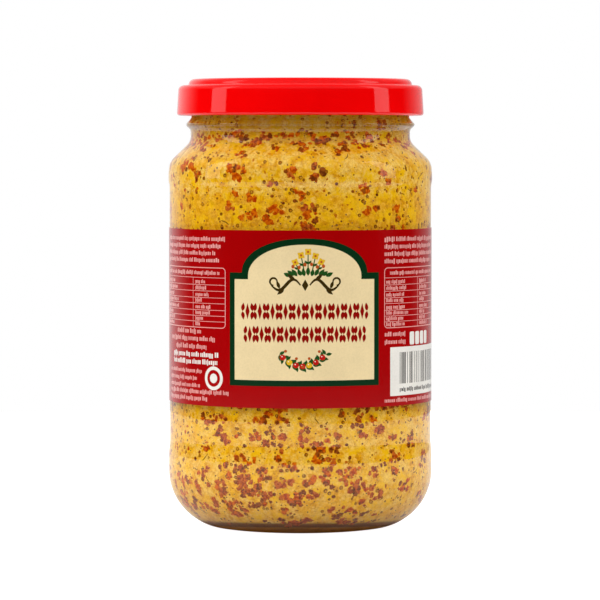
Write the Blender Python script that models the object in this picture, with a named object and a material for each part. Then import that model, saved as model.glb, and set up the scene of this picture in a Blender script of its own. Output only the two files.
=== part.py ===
"""A full, shut glass jar of wholegrain mustard, standing on its base.

The origin is the middle of the base where it stands, +Z is up, and the middle
of the label's printed front faces -Y. Lengths are metres.
"""

import math
import random

import bmesh
import bpy
from mathutils import Matrix, Vector

MM = 0.001

# Facets round the jar, and round the lid, which touches nothing closely
JAR_FACETS = 56
LID_FACETS = 48
JAR_FACET_ANGLE = 2 * math.pi / JAR_FACETS
WELD_DISTANCE = 0.001 * MM
SHARP_ANGLE = math.radians(30)

# Glass, outside
BEAD_RADIUS = 35.1 * MM
PANEL_RADIUS = 34.8 * MM
PANEL_TOP = 89.9 * MM
PANEL_BOTTOM = 20.3 * MM
BEAD_EASE = 1.1 * MM
SHOULDER_START = 94.6 * MM
SHOULDER_SLOPE = math.radians(46)
SHOULDER_RADIUS = 4.8 * MM
NECK_FILLET = 3.4 * MM
NECK_RADIUS = 29.15 * MM
NECK_RING_RADIUS = 30.6 * MM
NECK_RING_TIP = 106.7 * MM
NECK_RING_TOP = 108.5 * MM
NECK_RING_BOTTOM = 105.3 * MM
NECK_RING_TIP_HEIGHT = 0.5 * MM
RIM_HEIGHT = 118.1 * MM
HEEL_RADIUS = 15.2 * MM
HEEL_START = 14.8 * MM
FOOT_OUTER_RADIUS = 23.7 * MM
FOOT_INNER_RADIUS = 21.6 * MM
PUNT_EDGE_RADIUS = 19.5 * MM
PUNT_EDGE_HEIGHT = 1.0 * MM
PUNT_HEIGHT = 1.7 * MM
RIM_STEPS = 4
SHOULDER_STEPS = 3
HEEL_STEPS = 6

# Glass, inside
WALL = 2.3 * MM
NECK_BORE_RADIUS = 26.9 * MM
FLOOR_HEIGHT = 3.8 * MM
FLOOR_CROWN_HEIGHT = 4.8 * MM
INNER_HEEL_RADIUS = 12.4 * MM
INNER_SHOULDER_RADIUS = 3.2 * MM
INNER_NECK_FILLET = 5.3 * MM
INNER_SHOULDER_STEPS = 2
INNER_HEEL_STEPS = 4

# Mustard, clear of the glass, up to a level that the lid hides
FILL_LEVEL = 113.9 * MM
FILL_GAP = 0.55 * MM
SEED_COUNT = 130
SEED_LARGEST_RADIUS = 0.95 * MM
SEED_SMALLEST_RADIUS = 0.65 * MM
SEED_PROUD = 0.25 * MM
SEED_SPACING = 3.4 * MM
SEED_LENGTHENING = 1.15
SEED_SIDES = 6
SEED_RINGS = 4
SEED_EDGE_MARGIN = 2.5 * MM
RANDOM_SEED = 11

# Label, wrapped round the panel with a bare strip left at the back
LABEL_BOTTOM = 33.5 * MM
LABEL_TOP = 79.4 * MM
LABEL_GAP = 0.1 * MM
LABEL_THICKNESS = 0.15 * MM
LABEL_BARE_FACETS = 4

# Lid, pressed from sheet, with a rolled lower edge
LID_TOP = 118.8 * MM
LID_SHEET = 0.3 * MM
LID_PANEL_HEIGHT = 118.2 * MM
LID_PANEL_RADIUS = 24.0 * MM
LID_BUTTON_HEIGHT = 118.55 * MM
LID_BUTTON_RADIUS = 9.5 * MM
LID_BUTTON_FLAT_RADIUS = 5.7 * MM
LID_BUTTON_CROWN = 0.08 * MM
LID_RING_INNER_RADIUS = 25.0 * MM
LID_RING_OUTER_RADIUS = 29.7 * MM
LID_RING_CORNER = 1.5 * MM
LID_SHOULDER_HEIGHT = 117.15 * MM
LID_SHOULDER_RADIUS = 32.45 * MM
LID_SHOULDER_CORNER = 1.4 * MM
LID_SKIRT_RADIUS = 32.8 * MM
LID_CURL_CENTRE_HEIGHT = 109.85 * MM
LID_CURL_RADIUS = 0.78 * MM
LID_CURL_TURN = math.radians(225)
LID_CORNER_STEPS = 3
LID_CURL_STEPS = 6

# Colours as seen on screen, red, green and blue from 0 to 255
GLASS_COLOUR = (228, 222, 200)
MUSTARD_COLOUR = (206, 139, 19)
LABEL_COLOUR = (160, 3, 15)
LID_COLOUR = (238, 1, 2)
GLASS_ROUGHNESS = 0.03
MUSTARD_ROUGHNESS = 0.45
LABEL_ROUGHNESS = 0.4
LID_ROUGHNESS = 0.15


def clear_scene():
    """Removes every object, so that the script can be run again."""
    for thing in list(bpy.data.objects):
        bpy.data.objects.remove(thing, do_unlink=True)


def linear(channel):
    """Turns one 0-255 screen channel into the linear value a shader takes."""
    share = channel / 255
    if share <= 0.04045:
        return share / 12.92
    return ((share + 0.055) / 1.055) ** 2.4


def finish(name, screen_colour, roughness, transmission=0.0):
    """Makes a Principled material from a colour as seen on screen."""
    material = bpy.data.materials.new(name)
    material.use_nodes = True
    shader = material.node_tree.nodes["Principled BSDF"]
    colour = [linear(channel) for channel in screen_colour]
    shader.inputs["Base Color"].default_value = (*colour, 1.0)
    shader.inputs["Roughness"].default_value = roughness
    shader.inputs["Transmission Weight"].default_value = transmission
    material.diffuse_color = (*colour, 1.0)
    return material


def arc(centre, radius, start, end, steps):
    """Points on a circle in the (radius, height) plane, both ends included."""
    return [
        (
            centre[0] + radius * math.cos(start + (end - start) * step / steps),
            centre[1] + radius * math.sin(start + (end - start) * step / steps),
        )
        for step in range(steps + 1)
    ]


def s_curve(low, high_radius, convex, concave, slope, steps):
    """A shoulder: straight up, in over a convex arc, a slope and a concave arc, to straight up.

    It starts at the point low and ends at high_radius, at the height this takes.
    """
    low_radius, low_height = low
    arcs_width = (convex + concave) * (1 - math.cos(slope))
    run = (low_radius - high_radius - arcs_width) / math.sin(slope)
    top = low_height + (convex + concave) * math.sin(slope) + run * math.cos(slope)
    lower = arc((low_radius - convex, low_height), convex, 0.0, slope, steps)
    upper = arc(
        (high_radius + concave, top), concave, math.pi + slope, math.pi, steps
    )
    return lower + upper


def turned_mesh(name, profile, facets):
    """Spins a profile of (radius, height) points a full turn about the Z axis."""
    shape = bmesh.new()
    corners = [shape.verts.new((radius, 0.0, height)) for radius, height in profile]
    edges = [shape.edges.new(pair) for pair in zip(corners, corners[1:])]
    bmesh.ops.spin(
        shape,
        geom=corners + edges,
        cent=(0, 0, 0),
        axis=(0, 0, 1),
        angle=2 * math.pi,
        steps=facets,
        use_merge=True,
    )
    bmesh.ops.remove_doubles(shape, verts=shape.verts, dist=WELD_DISTANCE)
    bmesh.ops.recalc_face_normals(shape, faces=shape.faces)
    mesh = bpy.data.meshes.new(name)
    shape.to_mesh(mesh)
    shape.free()
    return mesh


def add_object(name, mesh, material):
    """Puts a mesh in the scene under its own name, smooth shaded, with its material."""
    thing = bpy.data.objects.new(name, mesh)
    bpy.context.scene.collection.objects.link(thing)
    mesh.materials.append(material)
    mesh.shade_smooth()
    mesh.set_sharp_from_angle(angle=SHARP_ANGLE)
    return thing


def solidify(thing, thickness, offset):
    """Gives a sheet its thickness, on the side that offset names."""
    modifier = thing.modifiers.new("thickness", "SOLIDIFY")
    modifier.thickness = thickness
    modifier.offset = offset
    modifier.use_even_offset = True
    modifier.use_rim = True


def glass_outer_profile():
    """The outside of the glass, from the rim down to the middle of the base."""
    shoulder = s_curve(
        (BEAD_RADIUS, SHOULDER_START),
        NECK_RADIUS,
        SHOULDER_RADIUS,
        NECK_FILLET,
        SHOULDER_SLOPE,
        SHOULDER_STEPS,
    )
    heel_centre = (BEAD_RADIUS - HEEL_RADIUS, HEEL_START)
    foot_angle = math.acos((FOOT_OUTER_RADIUS - heel_centre[0]) / HEEL_RADIUS)
    heel = arc(heel_centre, HEEL_RADIUS, 0.0, -foot_angle, HEEL_STEPS)
    heel[-1] = (FOOT_OUTER_RADIUS, 0.0)
    ring = [
        (NECK_RADIUS, NECK_RING_TOP),
        (NECK_RING_RADIUS, NECK_RING_TIP + NECK_RING_TIP_HEIGHT / 2),
        (NECK_RING_RADIUS, NECK_RING_TIP - NECK_RING_TIP_HEIGHT / 2),
        (NECK_RADIUS, NECK_RING_BOTTOM),
    ]
    panel = [
        (BEAD_RADIUS, PANEL_TOP + BEAD_EASE),
        (PANEL_RADIUS, PANEL_TOP),
        (PANEL_RADIUS, PANEL_BOTTOM),
        (BEAD_RADIUS, PANEL_BOTTOM - BEAD_EASE),
    ]
    foot = [
        (FOOT_INNER_RADIUS, 0.0),
        (PUNT_EDGE_RADIUS, PUNT_EDGE_HEIGHT),
        (PUNT_EDGE_RADIUS / 2, PUNT_HEIGHT),
        (0.0, PUNT_HEIGHT),
    ]
    return ring + shoulder[::-1] + panel + heel + foot


def glass_inner_profile(gap=0.0):
    """The inside of the glass, from the middle of the floor up to the neck.

    With a gap, this is the outline of what fills the jar.
    """
    inner_radius = PANEL_RADIUS - WALL
    heel_radius = INNER_HEEL_RADIUS - gap
    heel_centre = (inner_radius - INNER_HEEL_RADIUS, FLOOR_HEIGHT + INNER_HEEL_RADIUS)
    shoulder = s_curve(
        (inner_radius - gap, SHOULDER_START),
        NECK_BORE_RADIUS - gap,
        INNER_SHOULDER_RADIUS - gap,
        INNER_NECK_FILLET + gap,
        SHOULDER_SLOPE,
        INNER_SHOULDER_STEPS,
    )
    heel = arc(heel_centre, heel_radius, -math.pi / 2, 0.0, INNER_HEEL_STEPS)
    return [(0.0, FLOOR_CROWN_HEIGHT + gap)] + heel + shoulder


def build_glass(material):
    """The glass, one turned wall with a rounded rim, open at the top."""
    rim_radius = (NECK_RADIUS - NECK_BORE_RADIUS) / 2
    rim_centre = (NECK_BORE_RADIUS + rim_radius, RIM_HEIGHT - rim_radius)
    rim = arc(rim_centre, rim_radius, math.pi, 0.0, RIM_STEPS)
    profile = glass_inner_profile() + rim + glass_outer_profile()
    return add_object("glass_jar", turned_mesh("glass_jar", profile, JAR_FACETS), material)


def profile_lengths(profile):
    """The distance along a profile at each of its points."""
    lengths = [0.0]
    for before, after in zip(profile, profile[1:]):
        lengths.append(lengths[-1] + math.dist(before, after))
    return lengths


def place_on_profile(profile, lengths, distance):
    """The point at a distance along a profile, and its outward direction."""
    stretch = next(i for i, length in enumerate(lengths[1:]) if length >= distance)
    before, after = profile[stretch], profile[stretch + 1]
    share = (distance - lengths[stretch]) / (lengths[stretch + 1] - lengths[stretch])
    radius = before[0] + (after[0] - before[0]) * share
    height = before[1] + (after[1] - before[1]) * share
    outward = Vector((after[1] - before[1], before[0] - after[0])).normalized()
    return radius, height, outward


def label_hides(radius, height, angle):
    """Whether the label covers this place on the jar's side."""
    bare_half_angle = LABEL_BARE_FACETS / 2 * JAR_FACET_ANGLE - SEED_LARGEST_RADIUS / radius
    from_back = abs((angle - math.pi / 2 + math.pi) % (2 * math.pi) - math.pi)
    return LABEL_BOTTOM < height < LABEL_TOP and from_back > bare_half_angle


def seed_places(profile):
    """Places for the seeds on the mustard's side, spread evenly and clear of each other."""
    draw = random.Random(RANDOM_SEED)
    lengths = profile_lengths(profile)
    first = next(length for length, point in zip(lengths, profile) if point[0] > PUNT_EDGE_RADIUS)
    last = lengths[-1] - (FILL_LEVEL - NECK_RING_TOP)
    places = []
    while len(places) < SEED_COUNT:
        distance = draw.uniform(first + SEED_EDGE_MARGIN, last)
        angle = draw.uniform(0.0, 2 * math.pi)
        radius, height, outward = place_on_profile(profile, lengths, distance)
        if label_hides(radius, height, angle):
            continue
        turn = Matrix.Rotation(angle, 3, "Z")
        spot = turn @ Vector((radius, 0.0, height))
        if all((spot - other[0]).length > SEED_SPACING for other in places):
            direction = turn @ Vector((outward[0], 0.0, outward[1]))
            places.append((spot, direction, draw.uniform(0.0, math.pi)))
    return places


def add_seed(collection, number, spot, direction, roll):
    """One seed, sunk in the mustard's side so that a low cap stands proud."""
    share = number / (SEED_COUNT - 1)
    radius = SEED_LARGEST_RADIUS + (SEED_SMALLEST_RADIUS - SEED_LARGEST_RADIUS) * share
    shape = bmesh.new()
    bmesh.ops.create_uvsphere(
        shape, u_segments=SEED_SIDES, v_segments=SEED_RINGS, radius=radius
    )
    stretch = Matrix.Diagonal((SEED_LENGTHENING, 1.0, 1.0, 1.0))
    turn = direction.to_track_quat("Z", "Y").to_matrix().to_4x4()
    place = Matrix.Translation(spot + direction * (SEED_PROUD - radius))
    shape.transform(place @ turn @ Matrix.Rotation(roll, 4, "Z") @ stretch)
    mesh = bpy.data.meshes.new("seed")
    shape.to_mesh(mesh)
    shape.free()
    collection.objects.link(bpy.data.objects.new("seed", mesh))


def build_mustard(material):
    """The mustard that fills the jar, with its seeds fused into its side."""
    profile = glass_inner_profile(FILL_GAP) + [
        (NECK_BORE_RADIUS - FILL_GAP, FILL_LEVEL),
    ]
    mesh = turned_mesh("mustard", profile + [(0.0, FILL_LEVEL)], JAR_FACETS)
    mustard = add_object("mustard", mesh, material)
    seeds = bpy.data.collections.new("seeds")
    bpy.context.scene.collection.children.link(seeds)
    for number, (spot, direction, roll) in enumerate(seed_places(profile)):
        add_seed(seeds, number, spot, direction, roll)
    union = mustard.modifiers.new("seeds", "BOOLEAN")
    union.operation = "UNION"
    union.operand_type = "COLLECTION"
    union.collection = seeds
    union.solver = "EXACT"
    bpy.context.view_layer.objects.active = mustard
    bpy.ops.object.modifier_apply(modifier=union.name)
    for seed in list(seeds.objects):
        bpy.data.objects.remove(seed, do_unlink=True)
    bpy.data.collections.remove(seeds)
    return mustard


def build_label(material):
    """The paper label, a sheet round the panel, open at the back."""
    radius = PANEL_RADIUS + LABEL_GAP
    start = math.pi / 2 + LABEL_BARE_FACETS / 2 * JAR_FACET_ANGLE
    facets = JAR_FACETS - LABEL_BARE_FACETS
    edge_x = radius * math.cos(start)
    edge_y = radius * math.sin(start)
    shape = bmesh.new()
    ends = [shape.verts.new((edge_x, edge_y, height)) for height in (LABEL_BOTTOM, LABEL_TOP)]
    edge = shape.edges.new(ends)
    bmesh.ops.spin(
        shape,
        geom=ends + [edge],
        cent=(0, 0, 0),
        axis=(0, 0, 1),
        angle=facets * JAR_FACET_ANGLE,
        steps=facets,
    )
    for face in shape.faces:
        middle = face.calc_center_median()
        if face.normal.dot(Vector((middle.x, middle.y, 0.0))) < 0:
            face.normal_flip()
    mesh = bpy.data.meshes.new("label")
    shape.to_mesh(mesh)
    shape.free()
    label = add_object("label", mesh, material)
    solidify(label, LABEL_THICKNESS, 1.0)
    return label


def lid_profile():
    """The outer side of the lid's sheet, from its middle out, down and round the curl."""
    button = [
        (0.0, LID_BUTTON_HEIGHT),
        (LID_BUTTON_FLAT_RADIUS, LID_BUTTON_HEIGHT - LID_BUTTON_CROWN),
        (LID_BUTTON_RADIUS, LID_PANEL_HEIGHT),
    ]
    panel = [(LID_PANEL_RADIUS, LID_PANEL_HEIGHT), (LID_RING_INNER_RADIUS, LID_TOP)]
    ring_centre = (LID_RING_OUTER_RADIUS - LID_RING_CORNER, LID_TOP - LID_RING_CORNER)
    ring = arc(ring_centre, LID_RING_CORNER, math.pi / 2, 0.0, LID_CORNER_STEPS)
    shoulder_centre = (
        LID_SHOULDER_RADIUS - LID_SHOULDER_CORNER,
        LID_SHOULDER_HEIGHT - LID_SHOULDER_CORNER,
    )
    shoulder = arc(shoulder_centre, LID_SHOULDER_CORNER, math.pi / 2, 0.0, LID_CORNER_STEPS)
    curl_centre = (LID_SKIRT_RADIUS - LID_CURL_RADIUS, LID_CURL_CENTRE_HEIGHT)
    curl = arc(curl_centre, LID_CURL_RADIUS, 0.0, -LID_CURL_TURN, LID_CURL_STEPS)
    return button + panel + ring + shoulder + curl


def build_lid(material):
    """The lid, one pressed sheet over the neck."""
    mesh = turned_mesh("lid", lid_profile(), LID_FACETS)
    for polygon in mesh.polygons:
        if polygon.center.z > LID_PANEL_HEIGHT and polygon.normal.z < 0:
            mesh.flip_normals()
            break
    lid = add_object("lid", mesh, material)
    solidify(lid, LID_SHEET, -1.0)
    return lid


def main():
    """Builds the jar, its contents, its label and its lid."""
    clear_scene()
    build_glass(finish("clear_glass", GLASS_COLOUR, GLASS_ROUGHNESS, transmission=1.0))
    build_mustard(finish("wholegrain_mustard", MUSTARD_COLOUR, MUSTARD_ROUGHNESS))
    build_label(finish("label_paper", LABEL_COLOUR, LABEL_ROUGHNESS))
    build_lid(finish("lid_lacquer", LID_COLOUR, LID_ROUGHNESS))


main()
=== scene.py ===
"""Looks for a shut glass jar of wholegrain mustard with a red lid and a wrapped paper label.

Lengths in the size tables are millimetres and are turned into metres where meshes are made.
The label's front faces -Y, and angles round the jar run from there towards +X.
"""

import logging
import math
import random
from dataclasses import dataclass, field
from enum import Enum

import bpy
import numpy as np
from mathutils import Matrix, Vector
from mathutils.geometry import delaunay_2d_cdt


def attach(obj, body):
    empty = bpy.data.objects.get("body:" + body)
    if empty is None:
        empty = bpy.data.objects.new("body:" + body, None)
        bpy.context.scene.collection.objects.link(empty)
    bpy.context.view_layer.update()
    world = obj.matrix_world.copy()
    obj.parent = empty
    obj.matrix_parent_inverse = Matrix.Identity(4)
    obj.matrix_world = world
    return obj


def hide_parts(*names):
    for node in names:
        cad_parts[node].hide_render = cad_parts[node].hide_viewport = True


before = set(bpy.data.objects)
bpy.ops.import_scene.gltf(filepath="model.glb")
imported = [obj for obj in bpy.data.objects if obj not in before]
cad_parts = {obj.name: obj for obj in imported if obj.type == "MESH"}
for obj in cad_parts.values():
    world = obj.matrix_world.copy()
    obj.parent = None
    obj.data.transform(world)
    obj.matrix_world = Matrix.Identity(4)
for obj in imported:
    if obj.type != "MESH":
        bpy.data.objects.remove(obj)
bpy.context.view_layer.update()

MM = 0.001
BODY = "root"
SHARP_ANGLE = math.radians(35)
WHITE = (1.0, 1.0, 1.0, 1.0)
Pair = tuple[float, float]
Span = tuple[float, ...]
Outline = list[Pair]
Colour = tuple[float, float, float]
Socket = bpy.types.NodeSocket
Material = bpy.types.Material
Piece = bpy.types.Object
log = logging.getLogger("mustard_jar")


def linear(screen: Colour) -> tuple[float, float, float, float]:
    """Turns a screen colour into shader values.

    Args:
        screen: Red, green and blue from 0 to 255, as seen on screen.

    Returns:
        Linear red, green and blue, and an alpha of 1.
    """
    shares = [channel / 255 for channel in screen]
    values = [s / 12.92 if s <= 0.04045 else ((s + 0.055) / 1.055) ** 2.4 for s in shares]
    return (values[0], values[1], values[2], 1.0)


class NodeSheet:
    """A node tree, with short calls for the nodes that the finishes and the sky share."""

    def __init__(self, tree: bpy.types.NodeTree) -> None:
        """Takes the tree that nodes are added to."""
        self.tree = tree

    def node(self, kind: str, **settings: object) -> bpy.types.Node:
        """Adds a node.

        Args:
            kind: The node's Blender type.
            settings: Properties to set on it.

        Returns:
            The new node.
        """
        made = self.tree.nodes.new(kind)
        for key, value in settings.items():
            setattr(made, key, value)
        return made

    def link(self, start: Socket, end: Socket) -> None:
        """Joins an output socket to an input socket."""
        self.tree.links.new(start, end)

    def place(self, stretch: tuple[float, float, float] = (1.0, 1.0, 1.0)) -> Socket:
        """Object coordinates in metres.

        Args:
            stretch: What each axis is multiplied by.

        Returns:
            The vector socket.
        """
        coordinates = self.node("ShaderNodeTexCoord").outputs["Object"]
        if stretch == (1.0, 1.0, 1.0):
            return coordinates
        mapping = self.node("ShaderNodeMapping")
        mapping.inputs["Scale"].default_value = stretch
        self.link(coordinates, mapping.inputs["Vector"])
        return mapping.outputs["Vector"]

    def noise(self, place: Socket, size: float, detail: float = 3.0, rough: float = 0.55) -> Socket:
        """A cloudy pattern.

        Args:
            place: The coordinates.
            size: The size of its largest blotches in millimetres.
            detail: How many finer layers it has.
            rough: How strong the finer layers are.

        Returns:
            The factor socket.
        """
        made = self.node("ShaderNodeTexNoise")
        made.inputs["Scale"].default_value = 1 / (size * MM)
        made.inputs["Detail"].default_value = detail
        made.inputs["Roughness"].default_value = rough
        self.link(place, made.inputs["Vector"])
        return made.outputs["Fac"]

    def cells(self, place: Socket, size: float, feature: str = "F1", output: str = "Distance") -> Socket:
        """A pattern of packed grains.

        Args:
            place: The coordinates.
            size: The size of one grain in millimetres.
            feature: The Voronoi feature.
            output: The output socket's name.

        Returns:
            The chosen socket.
        """
        made = self.node("ShaderNodeTexVoronoi", feature=feature)
        made.inputs["Scale"].default_value = 1 / (size * MM)
        if feature == "SMOOTH_F1":
            made.inputs["Smoothness"].default_value = 0.35
        self.link(place, made.inputs["Vector"])
        return made.outputs[output]

    def warp(self, place: Socket, size: float, reach: float) -> Socket:
        """Bends coordinates, so that a pattern on them loses its regular shapes.

        Args:
            place: The coordinates.
            size: The size of the bends in millimetres.
            reach: How far they move a place in millimetres.

        Returns:
            The vector socket.
        """
        cloud = self.node("ShaderNodeTexNoise")
        cloud.inputs["Scale"].default_value = 1 / (size * MM)
        self.link(place, cloud.inputs["Vector"])
        moved = self.node("ShaderNodeVectorMath", operation="MULTIPLY_ADD")
        self.link(cloud.outputs["Color"], moved.inputs[0])
        moved.inputs[1].default_value = (2 * reach * MM,) * 3
        self.link(place, moved.inputs[2])
        return moved.outputs[0]

    def ramp(self, value: Socket, shades: tuple[Colour, ...]) -> Socket:
        """Turns a value into a colour from a row.

        Args:
            value: The value, from 0 to 1.
            shades: The screen colours, in even steps.

        Returns:
            The colour socket.
        """
        made = self.node("ShaderNodeValToRGB")
        steps = made.color_ramp.elements
        while len(steps) < len(shades):
            steps.new(0.5)
        for i, (step, shade) in enumerate(zip(steps, shades)):
            step.position = i / (len(shades) - 1)
            step.color = linear(shade)
        self.link(value, made.inputs["Fac"])
        return made.outputs["Color"]

    def span(self, value: Socket, low: float, high: float, to: Pair = (0.0, 1.0)) -> Socket:
        """Stretches a range of values smoothly.

        Args:
            value: What is stretched.
            low: The value that becomes to[0].
            high: The value that becomes to[1].
            to: The new range.

        Returns:
            The result socket.
        """
        made = self.node("ShaderNodeMapRange", interpolation_type="SMOOTHSTEP")
        for name, number in zip(("From Min", "From Max", "To Min", "To Max"), (low, high, *to)):
            made.inputs[name].default_value = number
        self.link(value, made.inputs["Value"])
        return made.outputs["Result"]

    def mix(self, share: Socket, start: "Colour | Socket", end: "Colour | Socket") -> Socket:
        """Mixes two colours.

        Args:
            share: How much of the second colour shows.
            start: The first colour, as a screen colour or a socket.
            end: The second colour, as a screen colour or a socket.

        Returns:
            The colour socket.
        """
        made = self.node("ShaderNodeMix", data_type="RGBA")
        self.link(share, made.inputs["Factor"])
        for value, socket in ((start, made.inputs["A"]), (end, made.inputs["B"])):
            target = next(s for s in made.inputs if s.name == socket.name and s.type == "RGBA")
            if isinstance(value, tuple):
                target.default_value = linear(value)
            else:
                self.link(value, target)
        return next(s for s in made.outputs if s.type == "RGBA")

    def math(self, operation: str, first: Socket, second: "float | Socket") -> Socket:
        """A math node.

        Args:
            operation: Its operation.
            first: The first value.
            second: The second value, a number or a socket.

        Returns:
            The value socket.
        """
        made = self.node("ShaderNodeMath", operation=operation)
        self.link(first, made.inputs[0])
        if isinstance(second, float):
            made.inputs[1].default_value = second
        else:
            self.link(second, made.inputs[1])
        return made.outputs[0]


class MaterialSheet(NodeSheet):
    """One material's nodes round its Principled shader."""

    def __init__(self, name: str) -> None:
        """Makes the material.

        Args:
            name: The material's name.
        """
        self.material = bpy.data.materials.new(name)
        self.material.use_nodes = True
        super().__init__(self.material.node_tree)
        self.shader = self.tree.nodes["Principled BSDF"]
        self.output = self.tree.nodes["Material Output"]

    def paint(self, colour: Socket) -> None:
        """Gives the surface its colour."""
        self.link(colour, self.shader.inputs["Base Color"])

    def bump(self, height: Socket, depth: float, strength: float = 1.0) -> None:
        """Roughens the surface.

        Args:
            height: The pattern.
            depth: How deep it is in millimetres.
            strength: How much of it shows.
        """
        made = self.node("ShaderNodeBump")
        made.inputs["Strength"].default_value = strength
        made.inputs["Distance"].default_value = depth * MM
        self.link(height, made.inputs["Height"])
        self.link(made.outputs["Normal"], self.shader.inputs["Normal"])

    def set(self, **values: float) -> None:
        """Sets the shader's own sockets, with spaces in their names written as underscores."""
        for name, value in values.items():
            self.shader.inputs[name.replace("_", " ")].default_value = value


@dataclass(frozen=True)
class GlassFinish:
    """Clear jar glass with the faint waves that a mould leaves."""

    tint: Colour = (252, 253, 250)
    index: float = 1.5
    wave_size: float = 16.0
    wave_depth: float = 0.05

    def material(self, name: str) -> Material:
        """Builds the glass, which lets lamp light and scattered light straight through.

        Args:
            name: The material's name.

        Returns:
            The material.
        """
        sheet = MaterialSheet(name)
        waves = sheet.noise(sheet.place((1.0, 1.0, 0.5)), self.wave_size, 1.0)
        sheet.bump(waves, self.wave_depth, 0.6)
        sheet.set(Roughness=0.0, IOR=self.index, Transmission_Weight=1.0)
        sheet.shader.inputs["Base Color"].default_value = linear(self.tint)
        path = sheet.node("ShaderNodeLightPath")
        clear = sheet.node("ShaderNodeBsdfTransparent")
        either = sheet.math("MAXIMUM", path.outputs["Is Shadow Ray"], path.outputs["Is Diffuse Ray"])
        blend = sheet.node("ShaderNodeMixShader")
        sheet.link(either, blend.inputs[0])
        sheet.link(sheet.shader.outputs[0], blend.inputs[1])
        sheet.link(clear.outputs[0], blend.inputs[2])
        sheet.link(blend.outputs[0], sheet.output.inputs["Surface"])
        return sheet.material


@dataclass(frozen=True)
class PasteFinish:
    """Coarse mustard paste: pressed golden crumbs with bright, creamy and brown patches between."""

    tones: tuple[Colour, ...] = (
        (184, 110, 8), (210, 140, 12), (227, 161, 20), (236, 173, 34), (245, 190, 70),
    )
    bright: Colour = (244, 190, 10)
    cream: Colour = (246, 204, 98)
    ochre: Colour = (196, 124, 14)
    bran: Colour = (166, 98, 16)
    # Painted shade: near the neck, where the lid's overhang shades the paste, it is mixed towards this
    # dark brown.
    shade: Colour = (112, 72, 12)
    # Painted shade: where the paste lies on the floor, little light reaches it, so it is mixed towards
    # this dark brown.
    floor: Colour = (132, 78, 16)
    # Painted shade, paler: the lowest part of the paste, seen through the foot, gets this brown instead.
    lowest_shade: Colour = (206, 138, 50)
    crumb_size: float = 1.0
    wear_size: float = 0.8
    wear_weight: float = 2.2
    tone_shift: float = 0.82
    bright_size: float = 3.4
    cream_size: float = 2.6
    dust_size: float = 0.6
    grain_size: float = 0.7
    grain_depth: float = 0.35
    cream_above: Pair = (87.0, 90.0)
    cream_below: Pair = (33.5, 34.5)
    cream_behind_label: float = 0.25
    # The heights over which the painted shade under the lid comes in.
    neck: Pair = (99.5, 106.5)
    # The heights where the painted shade on the floor comes in, and below these the paler painted shade.
    floor_shade_heights: Pair = (4.4, 4.9)
    lowest_shade_heights: Pair = (3.9, 4.1)

    def material(self, name: str) -> Material:
        """Builds the paste.

        Args:
            name: The material's name.

        Returns:
            The material.
        """
        sheet = MaterialSheet(name)
        place = sheet.place()
        bent = sheet.warp(place, 0.9, 0.5)
        axes = sheet.node("ShaderNodeSeparateXYZ")
        sheet.link(place, axes.inputs[0])

        def by_height(heights: Pair, to: Pair = (0.0, 1.0)) -> Socket:
            """A value that changes between two heights in millimetres."""
            return sheet.span(axes.outputs["Z"], heights[0] * MM, heights[1] * MM, to)

        split = sheet.node("ShaderNodeSeparateColor")
        sheet.link(sheet.cells(bent, self.crumb_size, "SMOOTH_F1", "Color"), split.inputs[0])
        wear = sheet.math("MULTIPLY", sheet.noise(place, self.wear_size, 4.0, 0.85), self.wear_weight)
        tone = sheet.math("ADD", sheet.math("MULTIPLY", split.outputs[0], 0.5), wear)
        colour = sheet.ramp(sheet.math("SUBTRACT", tone, self.tone_shift), self.tones)
        bright = sheet.span(sheet.noise(bent, self.bright_size, 3.0, 0.7), 0.44, 0.62, (0.0, 0.8))
        colour = sheet.mix(bright, colour, self.bright)
        far = sheet.place((1.0, 1.0, -1.0))
        cream = sheet.span(sheet.noise(far, self.cream_size, 4.0, 0.75), 0.43, 0.64, (0.0, 0.78))
        clear = sheet.math("ADD", by_height(self.cream_above), by_height(self.cream_below, (0.75, 0.0)))
        clear = sheet.math("ADD", clear, self.cream_behind_label)
        colour = sheet.mix(sheet.math("MULTIPLY", cream, clear), colour, self.cream)
        seams = sheet.span(sheet.cells(bent, self.crumb_size, "DISTANCE_TO_EDGE"), 0.0, 0.12, (0.45, 0.0))
        gate = sheet.span(sheet.noise(far, self.cream_size, 2.0), 0.44, 0.6)
        colour = sheet.mix(sheet.math("MULTIPLY", seams, gate), colour, self.ochre)
        dust = sheet.span(sheet.cells(bent, self.dust_size), 0.12, 0.24, (0.85, 0.0))
        dust_gate = sheet.span(sheet.noise(place, 2.0, 2.0), 0.5, 0.6)
        colour = sheet.mix(sheet.math("MULTIPLY", dust, dust_gate), colour, self.bran)
        # Painted shade under the lid: darker towards the neck.
        colour = sheet.mix(by_height(self.neck, (0.0, 0.4)), colour, self.shade)
        # Painted shade on the floor: darker towards the bottom, with a paler brown on the lowest part.
        colour = sheet.mix(by_height(self.floor_shade_heights, (1.0, 0.0)), colour, self.floor)
        colour = sheet.mix(by_height(self.lowest_shade_heights, (1.0, 0.0)), colour, self.lowest_shade)
        sheet.paint(colour)
        sheet.bump(sheet.noise(place, self.grain_size, 3.0, 0.65), self.grain_depth, 0.9)
        sheet.set(Roughness=0.9, Specular_IOR_Level=0.0)
        return sheet.material


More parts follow.
